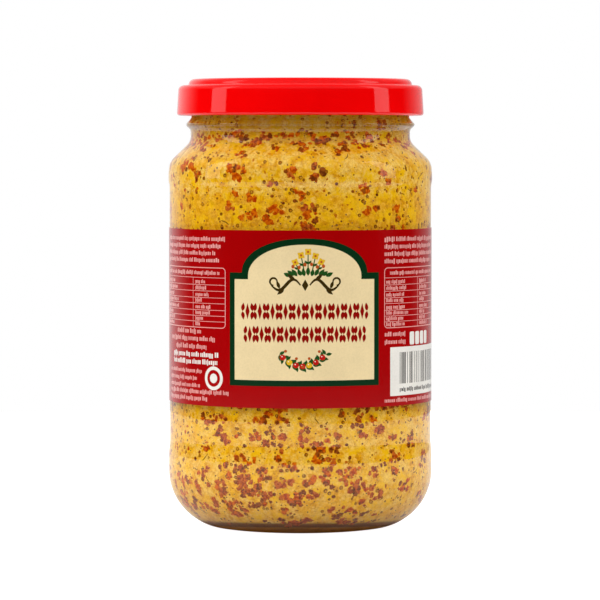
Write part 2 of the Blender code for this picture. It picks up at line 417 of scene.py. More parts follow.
@dataclass(frozen=True)
class GrainFinish:
    """Seed coats and husks against the glass: two shades in soft blotches."""

    light: Colour
    dark: Colour
    blotch: float = 2.2
    contrast: Pair = (0.42, 0.6)

    def material(self, name: str) -> Material:
        """Builds the finish.

        Args:
            name: The material's name.

        Returns:
            The material.
        """
        sheet = MaterialSheet(name)
        place = sheet.place()
        broad = sheet.span(sheet.noise(place, self.blotch, 1.0), *self.contrast)
        fine = sheet.span(sheet.noise(place, self.blotch * 0.2, 2.0), 0.4, 0.7, (0.0, 0.4))
        colour = sheet.mix(broad, self.light, self.dark)
        colour = sheet.mix(fine, colour, self.dark)
        sheet.paint(colour)
        sheet.bump(sheet.noise(place, 0.25, 2.0), 0.03, 0.5)
        sheet.set(Roughness=0.9, Specular_IOR_Level=0.0)
        return sheet.material


@dataclass(frozen=True)
class InkFinish:
    """Printed semi-gloss paper: one ink with a faint press grain over the paper's fibres."""

    colour: Colour
    grain: float = 0.025
    roughness: float = 0.13
    index: float = 1.4

    def material(self, name: str) -> Material:
        """Builds the ink.

        Args:
            name: The material's name.

        Returns:
            The material.
        """
        sheet = MaterialSheet(name)
        place = sheet.place()
        darker = tuple(channel * (1 - 2.2 * self.grain) for channel in self.colour)
        press = sheet.span(sheet.noise(place, 0.5, 3.0, 0.7), 0.35, 0.7)
        cloud = sheet.span(sheet.noise(place, 9.0, 2.0), 0.3, 0.7)
        share = sheet.math("MULTIPLY", sheet.math("ADD", press, cloud), 0.5)
        sheet.paint(sheet.mix(share, self.colour, darker))
        sheet.bump(sheet.noise(sheet.place((1.0, 1.0, 0.6)), 0.7, 4.0, 0.6), 0.012, 0.35)
        sheet.set(Roughness=self.roughness, IOR=self.index)
        return sheet.material


@dataclass(frozen=True)
class LacquerFinish:
    """Gloss lacquer on pressed sheet metal, with a slight orange peel."""

    colour: Colour = (252, 1, 3)
    deep: Colour = (246, 0, 2)
    roughness: float = 0.045
    peel_size: float = 2.4
    peel_depth: float = 0.004
    index: float = 1.5

    def material(self, name: str) -> Material:
        """Builds the lacquer.

        Args:
            name: The material's name.

        Returns:
            The material.
        """
        sheet = MaterialSheet(name)
        place = sheet.place()
        cloud = sheet.span(sheet.noise(place, 14.0, 2.0), 0.35, 0.65)
        sheet.paint(sheet.mix(cloud, self.colour, self.deep))
        rough = sheet.span(sheet.noise(place, 3.0, 4.0), 0.3, 0.7, (self.roughness, self.roughness * 1.5))
        sheet.link(rough, sheet.shader.inputs["Roughness"])
        sheet.bump(sheet.noise(place, self.peel_size, 2.0), self.peel_depth, 1.0)
        sheet.set(IOR=self.index)
        return sheet.material


def arc(centre: Pair, radius: float, start: float, end: float, steps: int) -> Outline:
    """Points on a circle in the plane of radius and height.

    Args:
        centre: The circle's centre.
        radius: Its radius.
        start: The first point's angle in radians.
        end: The last point's angle in radians.
        steps: How many steps lie between them.

    Returns:
        The points, both ends included.
    """
    angles = [start + (end - start) * step / steps for step in range(steps + 1)]
    return [(centre[0] + radius * math.cos(a), centre[1] + radius * math.sin(a)) for a in angles]


def shoulder_curve(
    low: Pair, high_radius: float, convex: float, concave: float, slope: float, steps: int
) -> Outline:
    """A shoulder: in over a convex arc, up a slope, and into a concave arc.

    Args:
        low: Where it starts, as radius and height.
        high_radius: The radius that it ends at.
        convex: The lower arc's radius.
        concave: The upper arc's radius.
        slope: The slope's angle from upright in radians.
        steps: How many steps each arc has.

    Returns:
        The points from low to high.
    """
    arcs_width = (convex + concave) * (1 - math.cos(slope))
    run = (low[0] - high_radius - arcs_width) / math.sin(slope)
    top = low[1] + (convex + concave) * math.sin(slope) + run * math.cos(slope)
    lower = arc((low[0] - convex, low[1]), convex, 0.0, slope, steps)
    upper = arc((high_radius + concave, top), concave, math.pi + slope, math.pi, steps)
    return lower + upper


def ease(low: Pair, high: Pair, steps: int) -> Outline:
    """A soft step in the wall between two points, level with the wall at both ends.

    Args:
        low: The first point, as radius and height.
        high: The last point.
        steps: How many steps lie between them.

    Returns:
        The points, both ends included.
    """
    shares = [step / steps for step in range(steps + 1)]
    return [
        (low[0] + (high[0] - low[0]) * (1 - math.cos(math.pi * s)) / 2, low[1] + (high[1] - low[1]) * s)
        for s in shares
    ]


def press(start: Pair, end: Pair, steps: int) -> Outline:
    """A soft step in height between two points, level at both ends."""
    return [(radius, height) for height, radius in ease(start[::-1], end[::-1], steps)]


def refine(outline: Outline, longest: float) -> Outline:
    """Splits the long stretches of an outline.

    Args:
        outline: The points.
        longest: The longest stretch wanted, in millimetres.

    Returns:
        The points with more between them.
    """
    made = [outline[0]]
    for before, after in zip(outline, outline[1:]):
        steps = max(1, math.ceil(math.dist(before, after) / longest))
        for step in range(1, steps + 1):
            share = step / steps
            made.append(tuple(b + (a - b) * share for b, a in zip(before, after)))
    return made


def add_piece(
    name: str,
    points: "list | np.ndarray",
    faces: "list | np.ndarray",
    materials: list[Material],
    inks: "list[int] | None" = None,
) -> Piece:
    """Makes a smooth shaded piece.

    Args:
        name: The piece's name.
        points: Its points in millimetres.
        faces: Its faces as point numbers.
        materials: Its materials.
        inks: Each face's material number, if it has more than one.

    Returns:
        The new object.
    """
    mesh = bpy.data.meshes.new(name)
    mesh.from_pydata((np.asarray(points, float) * MM).tolist(), [], [tuple(f) for f in faces])
    for material in materials:
        mesh.materials.append(material)
    if inks is not None:
        mesh.polygons.foreach_set("material_index", inks)
    mesh.shade_smooth()
    mesh.set_sharp_from_angle(angle=SHARP_ANGLE)
    mesh.update()
    piece = bpy.data.objects.new(name, mesh)
    bpy.context.scene.collection.objects.link(piece)
    return piece


def turned_piece(name: str, outline: Outline, segments: int, materials: list[Material]) -> Piece:
    """Turns an outline that starts and ends on the axis into a closed body.

    Args:
        name: The piece's name.
        outline: Points of radius and height in millimetres.
        segments: How many facets it has round the axis.
        materials: Its materials.

    Returns:
        The new object.
    """
    rings = outline[1:-1]
    turns = np.arange(segments) * 2 * math.pi / segments
    points = [(0.0, 0.0, outline[0][1]), (0.0, 0.0, outline[-1][1])]
    for radius, height in rings:
        circle = [radius * np.sin(turns), -radius * np.cos(turns), np.full(segments, height)]
        points.extend(np.stack(circle, axis=1).tolist())
    around = [(i, (i + 1) % segments) for i in range(segments)]
    last = 2 + (len(rings) - 1) * segments
    faces = [(0, 2 + b, 2 + a) for a, b in around] + [(1, last + a, last + b) for a, b in around]
    for ring in range(len(rings) - 1):
        low = 2 + ring * segments
        high = low + segments
        faces.extend((low + a, low + b, high + b, high + a) for a, b in around)
    area = sum(a[0] * b[1] - b[0] * a[1] for a, b in zip(outline, outline[1:]))
    if area < 0:
        faces = [face[::-1] for face in faces]
    return add_piece(name, points, faces, materials)


@dataclass
class GlassBody:
    """The jar's glass, one turned wall from the rim to the hollow base."""

    segments: int = 192
    bead_radius: float = 35.1
    bead_crest: float = 92.5
    bead_curve: float = 22.0
    panel_radius: float = 34.8
    panel_top: float = 89.9
    panel_bottom: float = 23.6
    lower_bead_top: float = 18.8
    shoulder_start: float = 94.6
    slope: float = math.radians(46)
    shoulder_radius: float = 4.8
    neck_fillet: float = 3.4
    neck_radius: float = 29.15
    lip_radius: float = 28.85
    ring_radius: float = 30.4
    ring_top: float = 108.5
    ring_tip: float = 106.7
    ring_bottom: float = 105.3
    rim_height: float = 118.1
    heel_radius: float = 15.2
    heel_start: float = 14.8
    foot_outer: float = 23.7
    foot_inner: float = 21.6
    punt_edge: Pair = (19.5, 1.0)
    punt_height: float = 1.7
    wall: float = 2.3
    bore_radius: float = 26.9
    floor_height: float = 3.8
    floor_crown: float = 4.8
    inner_heel: float = 12.4
    inner_shoulder: float = 3.2
    inner_fillet: float = 5.3
    finish: GlassFinish = field(default_factory=GlassFinish)

    def outer_outline(self) -> Outline:
        """The outside of the glass.

        Returns:
            Points from the neck down to the middle of the base.
        """
        fall = (self.shoulder_start - self.bead_crest) ** 2 / (2 * self.bead_curve)
        start = (self.bead_radius - fall, self.shoulder_start)
        shoulder = shoulder_curve(
            start, self.neck_radius, self.shoulder_radius, self.neck_fillet, self.slope, 12
        )
        crown = [
            (self.bead_radius - (z - self.bead_crest) ** 2 / (2 * self.bead_curve), z)
            for z in np.linspace(self.shoulder_start, self.bead_crest, 7)[1:-1]
        ]
        upper = ease((self.bead_radius, self.bead_crest), (self.panel_radius, self.panel_top), 8)
        lower = ease((self.panel_radius, self.panel_bottom), (self.bead_radius, self.lower_bead_top), 10)
        centre = (self.bead_radius - self.heel_radius, self.heel_start)
        foot_angle = math.acos((self.foot_outer + 0.5 - centre[0]) / self.heel_radius)
        heel = arc(centre, self.heel_radius, 0.0, -foot_angle, 30)
        tip = self.ring_radius
        ring = [
            (self.lip_radius, self.ring_top + 0.9),
            (self.lip_radius + 0.2, self.ring_top),
            (tip - 0.35, self.ring_tip + 0.62),
            (tip - 0.08, self.ring_tip + 0.32),
            (tip, self.ring_tip),
            (tip - 0.1, self.ring_tip - 0.32),
            (tip - 0.4, self.ring_tip - 0.62),
            (self.neck_radius + 0.18, self.ring_bottom + 0.15),
            (self.neck_radius, self.ring_bottom - 0.5),
        ]
        foot = [
            (self.foot_outer - 0.35, 0.12),
            (self.foot_outer - 0.9, 0.0),
            (self.foot_inner, 0.0),
            (self.foot_inner - 0.6, 0.18),
            self.punt_edge,
            (self.punt_edge[0] * 0.75, 1.4),
            (self.punt_edge[0] / 2, self.punt_height),
            (0.0, self.punt_height),
        ]
        return ring + shoulder[::-1] + crown + upper + lower + heel + foot

    def inner_outline(self, reach: float = 0.0) -> Outline:
        """The inside of the glass.

        Args:
            reach: How far into the wall the outline lies, for what fills the jar.

        Returns:
            Points from the middle of the floor up to the start of the neck.
        """
        radius = self.panel_radius - self.wall
        centre = (radius - self.inner_heel, self.floor_height + self.inner_heel)
        heel = arc(centre, self.inner_heel + reach, -math.pi / 2, 0.0, 24)
        shoulder = shoulder_curve(
            (radius + reach, self.shoulder_start),
            self.bore_radius + reach,
            self.inner_shoulder + reach,
            self.inner_fillet - reach,
            self.slope,
            10,
        )
        return [(0.0, self.floor_crown - reach)] + heel + shoulder

    def build(self) -> Piece:
        """Builds the glass and dresses it.

        Returns:
            The glass, in place of its solid.
        """
        half = (self.lip_radius - self.bore_radius) / 2
        rim = arc((self.bore_radius + half, self.rim_height - half), half, math.pi, 0.0, 10)
        outline = refine(self.inner_outline() + rim + self.outer_outline(), 3.0)
        piece = turned_piece("jar_glass", outline, self.segments, [self.finish.material("jar_glass")])
        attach(piece, BODY)
        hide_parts("glass_jar")
        return piece


class Grain(Enum):
    """The kinds of thing that lie in the mustard's side."""

    HUSK = "husks"
    CRUMB = "bran_crumbs"
    SEED = "whole_seeds"
    BUBBLE = "pinholes"
    RIMMED = "rimmed_seeds"
    KERNEL = "yellow_kernels"
    SLIVER = "dark_slivers"


COATS: dict[Grain, dict[str, GrainFinish]] = {
    Grain.HUSK: {
        "husk_orange": GrainFinish((216, 106, 6), (172, 60, 2), 0.8),
        "husk_russet": GrainFinish((198, 98, 32), (150, 60, 16), 0.8),
        "husk_brown": GrainFinish((154, 78, 18), (108, 48, 10), 0.8),
        "husk_rim": GrainFinish((218, 140, 34), (198, 106, 18), 0.8),
        "husk_scrap": GrainFinish((104, 56, 12), (66, 32, 8), 0.8),
    },
    Grain.CRUMB: {
        "crumb_tan": GrainFinish((214, 136, 28), (190, 104, 14), 1.0),
        "crumb_russet": GrainFinish((190, 102, 20), (152, 72, 12), 1.0),
        "crumb_brown": GrainFinish((140, 82, 16), (98, 54, 10), 1.0),
    },
    Grain.SEED: {
        "seed_brown": GrainFinish((148, 76, 20), (104, 46, 10), 0.9),
        "seed_tan": GrainFinish((180, 128, 50), (128, 80, 26), 0.9),
        "seed_edge": GrainFinish((84, 44, 10), (54, 26, 6), 0.9),
    },
    # Pinholes: a pale rim, and a dark middle that is painted shade inside the hole.
    Grain.BUBBLE: {
        "pinhole_shade": GrainFinish((108, 50, 8), (70, 28, 4), 1.5),
        "pinhole_rim": GrainFinish((236, 184, 84), (206, 140, 30), 1.5),
    },
    # The rims of the rimmed seeds are partly their coat colour and partly painted shade.
    Grain.RIMMED: {
        "coat_dark_and_shade": GrainFinish((134, 74, 10), (98, 46, 6), 1.0),
        "middle_olive": GrainFinish((190, 124, 22), (156, 94, 14), 0.8),
        "coat_brown_and_shade": GrainFinish((168, 108, 20), (136, 80, 12), 1.0),
        "middle_tan": GrainFinish((206, 150, 44), (180, 118, 26), 0.8),
    },
    Grain.KERNEL: {
        "kernel_yellow": GrainFinish((232, 172, 10), (216, 148, 6), 1.0),
        "kernel_cream": GrainFinish((240, 190, 84), (230, 168, 44), 1.0),
    },
    Grain.SLIVER: {"sliver_dark": GrainFinish((140, 80, 16), (92, 48, 8), 2.0)},
}


@dataclass(frozen=True)
class LensKind:
    """How one kind of flat grain varies: a range of one number is fixed and takes no draw.

    The size is the smallest, what is added at most, and the power that favours small ones. The
    stretch multiplies it along and across, and the roundness across once more. Rim and middle
    list the coats that are drawn from, and a kind without a rim has its middle's coat all over.
    """

    count: int
    seed: int
    sides: int
    unevenness: float
    lifts: tuple[float, float, float]
    size: tuple[float, float, float]
    rim: tuple[int, ...]
    middle: tuple[int, ...]
    stretch: tuple[Span, Span] = ((1.0,), (1.0,))
    roundness: Span = (1.0,)
    inner: Span = (0.72,)
    shift: tuple[Span, Span] = ((0.0,), (0.0,))
    margin: float = 0.0
    highest: float = 120.0


LENSES: dict[Grain, LensKind] = {
    Grain.CRUMB: LensKind(
        1700, 1, 8, 0.2, (-0.03, 0.03, 0.04), (0.13, 0.4, 2.2), (0,), (0, 0, 1, 1, 2),
        stretch=((0.9, 1.5), (0.6, 0.95)),
    ),
    Grain.KERNEL: LensKind(
        260, 2, 12, 0.16, (-0.03, 0.015, 0.02), (0.35, 0.65, 1.0), (), (0, 0, 1),
        stretch=((0.9, 1.4), (0.7, 0.95)), margin=2.0, highest=102.0,
    ),
    # Pinholes: the dark middle is painted shade inside each hole.
    Grain.BUBBLE: LensKind(
        1150, 3, 10, 0.06, (0.0, 0.06, 0.03), (0.2, 0.16, 1.0), (1,), (0,),
        roundness=(0.92,), inner=(0.55, 0.75),
    ),
    # Rimmed seeds: the middle is moved right and down, so the dark rim is wider on the upper left, as
    # painted shade on a lit dome.
    Grain.RIMMED: LensKind(
        850, 6, 12, 0.07, (-0.02, 0.08, 0.11), (0.34, 0.28, 1.0), (0, 0, 2), (1, 1, 3),
        roundness=(0.85, 1.0), inner=(0.4, 0.62), shift=((0.05, 0.2), (-0.2, -0.05)),
    ),
}


def drawn(draw: random.Random, span: Span) -> float:
    """Draws a number from a range, or gives a fixed one without a draw."""
    return span[0] if len(span) == 1 else draw.uniform(*span)


def chosen(draw: random.Random, options: tuple[int, ...]) -> int:
    """Draws one of a few numbers, or gives the only one without a draw."""
    return options[0] if len(options) == 1 else draw.choice(options)


def rotated(x: np.ndarray, y: np.ndarray, turn: float) -> tuple[np.ndarray, np.ndarray]:
    """Turns points about their origin by an angle in radians."""
    c, s = math.cos(turn), math.sin(turn)
    return x * c - y * s, x * s + y * c


class FillSide:
    """The mustard's outer side as a sheet that small things are laid out on."""

    widest: float = 33.0
    floor_reach: float = 16.0

    def __init__(self, outline: Outline, label: "PaperLabel") -> None:
        """Measures the outline.

        Args:
            outline: Points of radius and height from the floor's middle up to the surface.
            label: The label, which hides part of the side.
        """
        fine = refine(outline, 0.25)
        self.radius = np.array([point[0] for point in fine])
        self.height = np.array([point[1] for point in fine])
        steps = np.hypot(np.diff(self.radius), np.diff(self.height))
        self.length = np.concatenate([[0.0], np.cumsum(steps)])
        self.out_r = np.gradient(self.height, self.length)
        self.out_z = -np.gradient(self.radius, self.length)
        self.label = label

    def place(self, length: np.ndarray, angle: np.ndarray, lift: np.ndarray) -> np.ndarray:
        """Turns places on the sheet into points.

        Args:
            length: The distance along the outline in millimetres.
            angle: The angle from the front in radians.
            lift: How far outside the mustard's side the point lies.

        Returns:
            The points in millimetres, one a row.
        """
        radius = np.interp(length, self.length, self.radius)
        radius = radius + lift * np.interp(length, self.length, self.out_r)
        height = np.interp(length, self.length, self.height)
        height = height + lift * np.interp(length, self.length, self.out_z)
        return np.stack([radius * np.sin(angle), -radius * np.cos(angle), height], axis=-1)

    def length_at(self, height: float) -> float:
        """The distance along the outline at a height on the side.

        Args:
            height: The height in millimetres.

        Returns:
            The distance in millimetres.
        """
        start = int(np.argmax(self.radius > self.floor_reach))
        return float(np.interp(height, self.height[start:], self.length[start:]))

    def radius_at(self, length: float) -> float:
        """The radius at a distance along the outline."""
        return float(np.interp(length, self.length, self.radius))

    def hidden(self, length: float, angle: float, margin: float) -> bool:
        """Whether the label covers a place.

        Args:
            length: The distance along the outline.
            angle: The angle from the front in radians.
            margin: How far under the label's edge things are still wanted, in millimetres.

        Returns:
            True where nothing would show.
        """
        height = float(np.interp(length, self.length, self.height))
        round_back = abs((angle + math.pi) % (2 * math.pi) - math.pi) * self.radius_at(length)
        inside_edges = round_back < self.label.half_span * self.label.radius - margin
        return self.label.bottom + margin < height < self.label.top - margin and inside_edges

    def random_place(self, draw: random.Random, low: float, high: float, margin: float = 2.5) -> Pair:
        """Draws a place that shows, even over the area.

        Args:
            draw: The source of random numbers.
            low: The lowest distance along the outline.
            high: The highest.
            margin: How far under the label's edge things are still wanted.

        Returns:
            The distance along the outline, and the angle from the front.
        """
        while True:
            length = draw.uniform(low, high)
            angle = draw.uniform(-math.pi, math.pi)
            if draw.random() * self.widest > self.radius_at(length):
                continue
            if not self.hidden(length, angle, margin):
                return length, angle


class Scatter:
    """Gathers many small closed shapes of one kind into one piece."""

    def __init__(self, side: FillSide) -> None:
        """Starts empty.

        Args:
            side: The sheet that the shapes lie on.
        """
        self.side = side
        self.points: list[np.ndarray] = []
        self.faces: list[tuple[int, ...]] = []
        self.inks: list[int] = []
        self.count = 0

    def add(
        self,
        centre: Pair,
        across: np.ndarray,
        along: np.ndarray,
        lift: np.ndarray,
        faces: list[tuple[int, ...]],
        inks: "int | list[int]",
    ) -> None:
        """Adds one shape.

        Args:
            centre: Its distance along the outline and its angle.
            across: Each point's distance from the centre, round the jar.
            along: Each point's distance from the centre, up the side.
            lift: Each point's distance outside the side.
            faces: Its faces as point numbers.
            inks: Its material number, or one for each face.
        """
        length, angle = centre
        radius = self.side.radius_at(length)
        self.points.append(self.side.place(length + along, angle + across / radius, lift))
        self.faces.extend(tuple(self.count + corner for corner in face) for face in faces)
        self.inks.extend([inks] * len(faces) if isinstance(inks, int) else inks)
        self.count += len(across)

    def lens(
        self,
        draw: random.Random,
        centre: Pair,
        size: Pair,
        sides: int,
        unevenness: float,
        lifts: tuple[float, float, float],
        inks: tuple[int, int],
        inner: float = 0.72,
        shift: Pair = (0.0, 0.0),
    ) -> None:
        """Adds a flat closed lens with a lobed, uneven edge, turned at random.

        Args:
            draw: The source of random numbers.
            centre: Its distance along the outline and its angle.
            size: Half its length and half its width in millimetres.
            sides: How many corners its edge has.
            unevenness: How much the corners differ.
            lifts: The lift of its edge, its inner ring and its middle.
            inks: The material numbers of its outer ring and its middle.
            inner: The inner ring's share of the size.
            shift: How far the middle is moved round the jar and up it, in millimetres.
        """
        turns = np.arange(sides) * 2 * math.pi / sides
        turns = turns + np.array([draw.uniform(-1.2, 1.2) for _ in range(sides)]) / sides
        reach = 1 + np.array([draw.uniform(-unevenness, unevenness) for _ in range(sides)])
        for lobes in (2, 3, 5):
            depth = unevenness * draw.uniform(0.2, 0.8)
            reach = reach + depth * np.sin(lobes * turns + draw.uniform(0, 6.3))
        reach = np.maximum(reach, 0.35)
        turn = draw.uniform(-1.6, 1.6)
        across, along = rotated(size[0] * reach * np.cos(turns), size[1] * reach * np.sin(turns), turn)
        across = np.concatenate([across, across * inner + shift[0], [shift[0], 0.0]])
        along = np.concatenate([along, along * inner + shift[1], [shift[1], 0.0]])
        lift = np.array([lifts[0]] * sides + [lifts[1]] * sides + [lifts[2], -0.2])
        faces, shades = [], []
        for i in range(sides):
            j = (i + 1) % sides
            faces.extend([(i, j, sides + j, sides + i), (sides + i, sides + j, 2 * sides)])
            faces.append((j, i, 2 * sides + 1))
            shades.extend([inks[0], inks[1], inks[0]])
        self.add(centre, across, along, lift, faces, shades)

    def finish(self, kind: Grain) -> Piece:
        """Makes the piece, named and coated as its kind of grain."""
        coats = [coat.material(name) for name, coat in COATS[kind].items()]
        return add_piece(kind.value, np.concatenate(self.points), self.faces, coats, self.inks)


@dataclass
class MustardFill:
    """The mustard: the paste, and every kind of grain that shows at the glass."""

    glass: GlassBody
    label: "PaperLabel"
    level: float = 113.9
    reach: float = 0.15
    shown_radius: float = 24.6
    hidden_top: float = 3.0
    segments: int = 192
    seed: int = 23
    upper_husks: int = 380
    neck_husks: int = 420
    lower_husks: int = 860
    heel_husks: int = 240
    back_husks: int = 40
    neck_band: Pair = (99.5, 104.5)
    heel_top: float = 13.0
    husk_zones: Pair = (40.0, 99.0)
    seeds: int = 150
    slivers: int = 40
    husk_marks: tuple[tuple[float, float, float], ...] = (
        (-55.7, 95.0, 1.0), (-52.7, 93.2, 1.3), (-33.6, 94.9, 1.2), (-25.3, 94.9, 0.9), (-5.1, 95.0, 1.2),
        (-3.7, 93.9, 1.2), (-22.3, 87.9, 1.5), (-22.3, 83.3, 1.3), (-15.3, 82.3, 1.3), (-12.6, 85.1, 1.3),
        (-9.0, 83.6, 1.2), (-10.9, 103.6, 1.3), (-3.9, 104.2, 1.1), (4.3, 85.4, 1.4), (6.3, 95.7, 0.8),
        (6.0, 92.8, 1.2), (20.1, 103.9, 1.2), (10.7, 101.4, 1.4), (28.4, 90.0, 1.6), (31.4, 84.3, 1.2),
        (36.7, 85.0, 1.0), (39.6, 93.8, 1.2), (43.1, 92.0, 1.0), (46.8, 84.4, 1.3), (3.8, 80.8, 1.9),
        (-24.3, 101.9, 1.3), (0.8, 99.6, 1.2), (23.1, 99.3, 0.8), (39.0, 93.8, 1.0), (-30.0, 95.1, 0.8),
        (48.8, 82.1, 1.0), (-53.4, 89.6, 0.9), (-19.0, 30.0, 1.2), (-15.8, 30.6, 1.1), (-20.9, 25.9, 1.5),
        (-16.7, 25.1, 1.4), (-13.9, 24.2, 1.2), (-9.0, 25.7, 1.3), (0.7, 24.7, 1.5), (8.7, 22.7, 1.0),
        (-9.9, 19.8, 1.2), (-3.7, 18.3, 1.1), (-3.2, 17.3, 1.1), (13.7, 19.8, 1.2), (-34.9, 25.0, 1.5),
        (-39.3, 27.3, 1.3), (-37.6, 30.7, 1.4), (-48.5, 30.4, 1.1), (-45.9, 28.9, 1.2), (26.9, 30.9, 1.4),
        (34.0, 30.2, 1.4), (38.4, 27.3, 1.2), (-26.7, 13.6, 1.6), (-24.9, 12.3, 1.5), (-25.3, 11.1, 1.2),
        (-17.7, 12.2, 1.5), (-15.2, 10.7, 1.6), (-7.4, 10.8, 1.3), (-1.5, 10.5, 1.7), (-0.6, 9.2, 1.5),
        (4.8, 11.3, 1.5), (19.6, 17.4, 1.7), (21.1, 16.1, 1.5), (19.2, 14.3, 1.6), (25.9, 17.3, 1.3),
        (25.9, 14.4, 1.5), (35.6, 16.2, 1.7), (46.8, 16.1, 1.3), (37.5, 10.9, 1.7), (33.8, 12.1, 1.5),
        (25.6, 12.3, 1.5), (-17.6, 16.9, 1.4), (-15.8, 15.4, 1.2), (3.8, 14.5, 1.5), (-4.5, 15.0, 1.3),
        (11.0, 16.0, 1.1), (12.3, 14.4, 1.2), (-48.5, 15.8, 1.1), (-29.7, 17.7, 1.0), (-27.7, 20.3, 1.1),
        (-45.1, 8.9, 1.4), (-33.9, 8.4, 1.4), (-53.9, 12.4, 1.3), (-58.2, 13.6, 1.1), (-38.0, 10.7, 1.2),
        (-22.7, 8.5, 1.3), (49.4, 19.9, 1.2), (39.6, 18.4, 1.2), (52.2, 12.0, 1.1), (22.3, 7.6, 1.5),
        (30.5, 6.6, 1.5), (16.4, 7.2, 1.4), (-6.4, 7.3, 1.4),
    )
    seed_marks: tuple[tuple[float, float, float], ...] = (
        (10.1, 94.4, 1.6), (29.9, 106.7, 0.7), (-6.3, 90.0, 0.6), (-12.6, 88.2, 0.65), (-7.6, 86.4, 0.6),
        (29.9, 86.3, 0.6), (-10.3, 31.4, 0.65), (-13.5, 28.5, 0.6), (-25.7, 23.5, 0.75), (26.9, 27.0, 0.7),
        (16.4, 23.6, 0.7), (3.4, 22.7, 0.65), (10.1, 20.1, 0.75), (22.5, 20.4, 0.7), (-8.5, 17.3, 0.75),
        (1.6, 16.0, 0.8), (11.0, 16.0, 0.75), (5.2, 18.0, 0.8), (-11.9, 11.3, 0.7), (15.4, 10.7, 0.75),
        (-4.3, 9.0, 0.8), (-64.3, 18.5, 0.7), (-34.9, 18.1, 0.8), (-49.2, 14.2, 0.9), (-48.0, 97.2, 0.6),
        (0.7, 86.4, 0.6), (16.4, 80.7, 0.5), (-21.8, 89.2, 0.55),
    )

    def outline(self) -> Outline:
        """The mustard's outline from the floor's middle to the middle of its top."""
        side = self.glass.inner_outline(self.reach)
        return side + [(self.glass.bore_radius + self.reach, self.level), (0.0, self.level)]

    def ends(self, side: FillSide) -> Pair:
        """The lowest and highest distance along the outline that show, in millimetres."""
        low = float(side.length[int(np.argmax(side.radius > self.shown_radius))])
        return low, side.length_at(self.level - self.hidden_top)

    def add_husks(
        self, pile: Scatter, draw: random.Random, centre: Pair, reach: float, count: int
    ) -> None:
        """Adds a ragged clump of torn husks, redder low in the jar, with dark scraps round it.

        Args:
            pile: The husks.
            draw: The source of random numbers.
            centre: The clump's distance along the outline and its angle.
            reach: The clump's radius in millimetres.
            count: How many husks it has.
        """
        length, angle = centre
        radius = pile.side.radius_at(length)
        height = float(np.interp(length, pile.side.length, pile.side.height))
        below, above = height < self.husk_zones[0], height >= self.husk_zones[1]
        core = draw.choice((1, 1, 1, 0, 2) if below else (0, 1, 1, 2) if above else (0, 0, 0, 1))
        growth = 1.12 if self.husk_zones[0] < height < self.husk_zones[1] else 1.0
        for _ in range(count):
            way, far = draw.uniform(-math.pi, math.pi), reach * math.sqrt(draw.random())
            spot = (length + 0.8 * far * math.sin(way), angle + 1.2 * far * math.cos(way) / radius)
            size = draw.uniform(0.5, 1.1) * growth
            inks = (draw.choice((3, 3, core)), draw.choice((core, core, core, core, 0, 2)))
            sizes = (size, size * draw.uniform(0.7, 0.95))
            pile.lens(draw, spot, sizes, 14, 0.2, (-0.04, 0.05, 0.07), inks, draw.uniform(0.58, 0.8))
        for _ in range(draw.choice((0, 1, 1, 2))):
            way, far = draw.uniform(-math.pi, math.pi), reach * draw.uniform(0.5, 1.2)
            spot = (length + far * math.sin(way), angle + far * math.cos(way) / radius)
            scrap = draw.uniform(0.14, 0.3)
            pile.lens(draw, spot, (scrap, scrap * 0.85), 8, 0.12, (-0.02, 0.09, 0.1), (2, 4))

    def build_husks(self, side: FillSide) -> Piece:
        """Husks in ragged clumps: the largest where they were measured, the others at random.

        Args:
            side: The mustard's side.

        Returns:
            The piece.
        """
        draw = random.Random(self.seed)
        pile = Scatter(side)
        low, high = self.ends(side)
        for angle, height, size in self.husk_marks:
            centre = (side.length_at(height), math.radians(angle))
            self.add_husks(pile, draw, centre, size * 0.9, round(3.6 * size))
        bands = (
            (self.upper_husks, side.length_at(self.label.top - 2), high, 0.35),
            (self.neck_husks, *(side.length_at(height) for height in self.neck_band), 0.0),
            (self.lower_husks, low, side.length_at(self.label.bottom + 2), 0.0),
            (self.heel_husks, low, side.length_at(self.heel_top), 0.0),
            (self.back_husks, side.length_at(self.label.bottom), side.length_at(self.label.top), 0.0),
        )
        for wanted, start, stop, spared in bands:
            made = 0
            while made < wanted:
                length, angle = side.random_place(draw, start, stop)
                if abs(angle) < math.radians(48) and draw.random() < spared:
                    continue
                count = draw.choice((1, 2, 3, 4, 5, 7))
                self.add_husks(pile, draw, (length, angle), 0.3 + 0.24 * count, count)
                made += count
        return pile.finish(Grain.HUSK)

    def build_lenses(self, side: FillSide, kind: Grain) -> Piece:
        """Scatters one kind of flat grain evenly over the side.

        Args:
            side: The mustard's side.
            kind: One of the kinds in LENSES.

        Returns:
            The piece.
        """
        lens = LENSES[kind]
        draw = random.Random(self.seed + lens.seed)
        pile = Scatter(side)
        low, high = self.ends(side)
        high = min(high, side.length_at(lens.highest))
        for _ in range(lens.count):
            centre = side.random_place(draw, low + lens.margin, high)
            size = lens.size[0] + lens.size[1] * draw.random() ** lens.size[2]
            wide, narrow = (size * drawn(draw, span) for span in lens.stretch)
            shift = tuple(size * drawn(draw, span) for span in lens.shift)
            rim = chosen(draw, lens.rim) if lens.rim else None
            middle = chosen(draw, lens.middle)
            inks = (middle if rim is None else rim, middle)
            sizes = (wide, narrow * drawn(draw, lens.roundness))
            inner = drawn(draw, lens.inner)
            pile.lens(draw, centre, sizes, lens.sides, lens.unevenness, lens.lifts, inks, inner, shift)
        return pile.finish(kind)

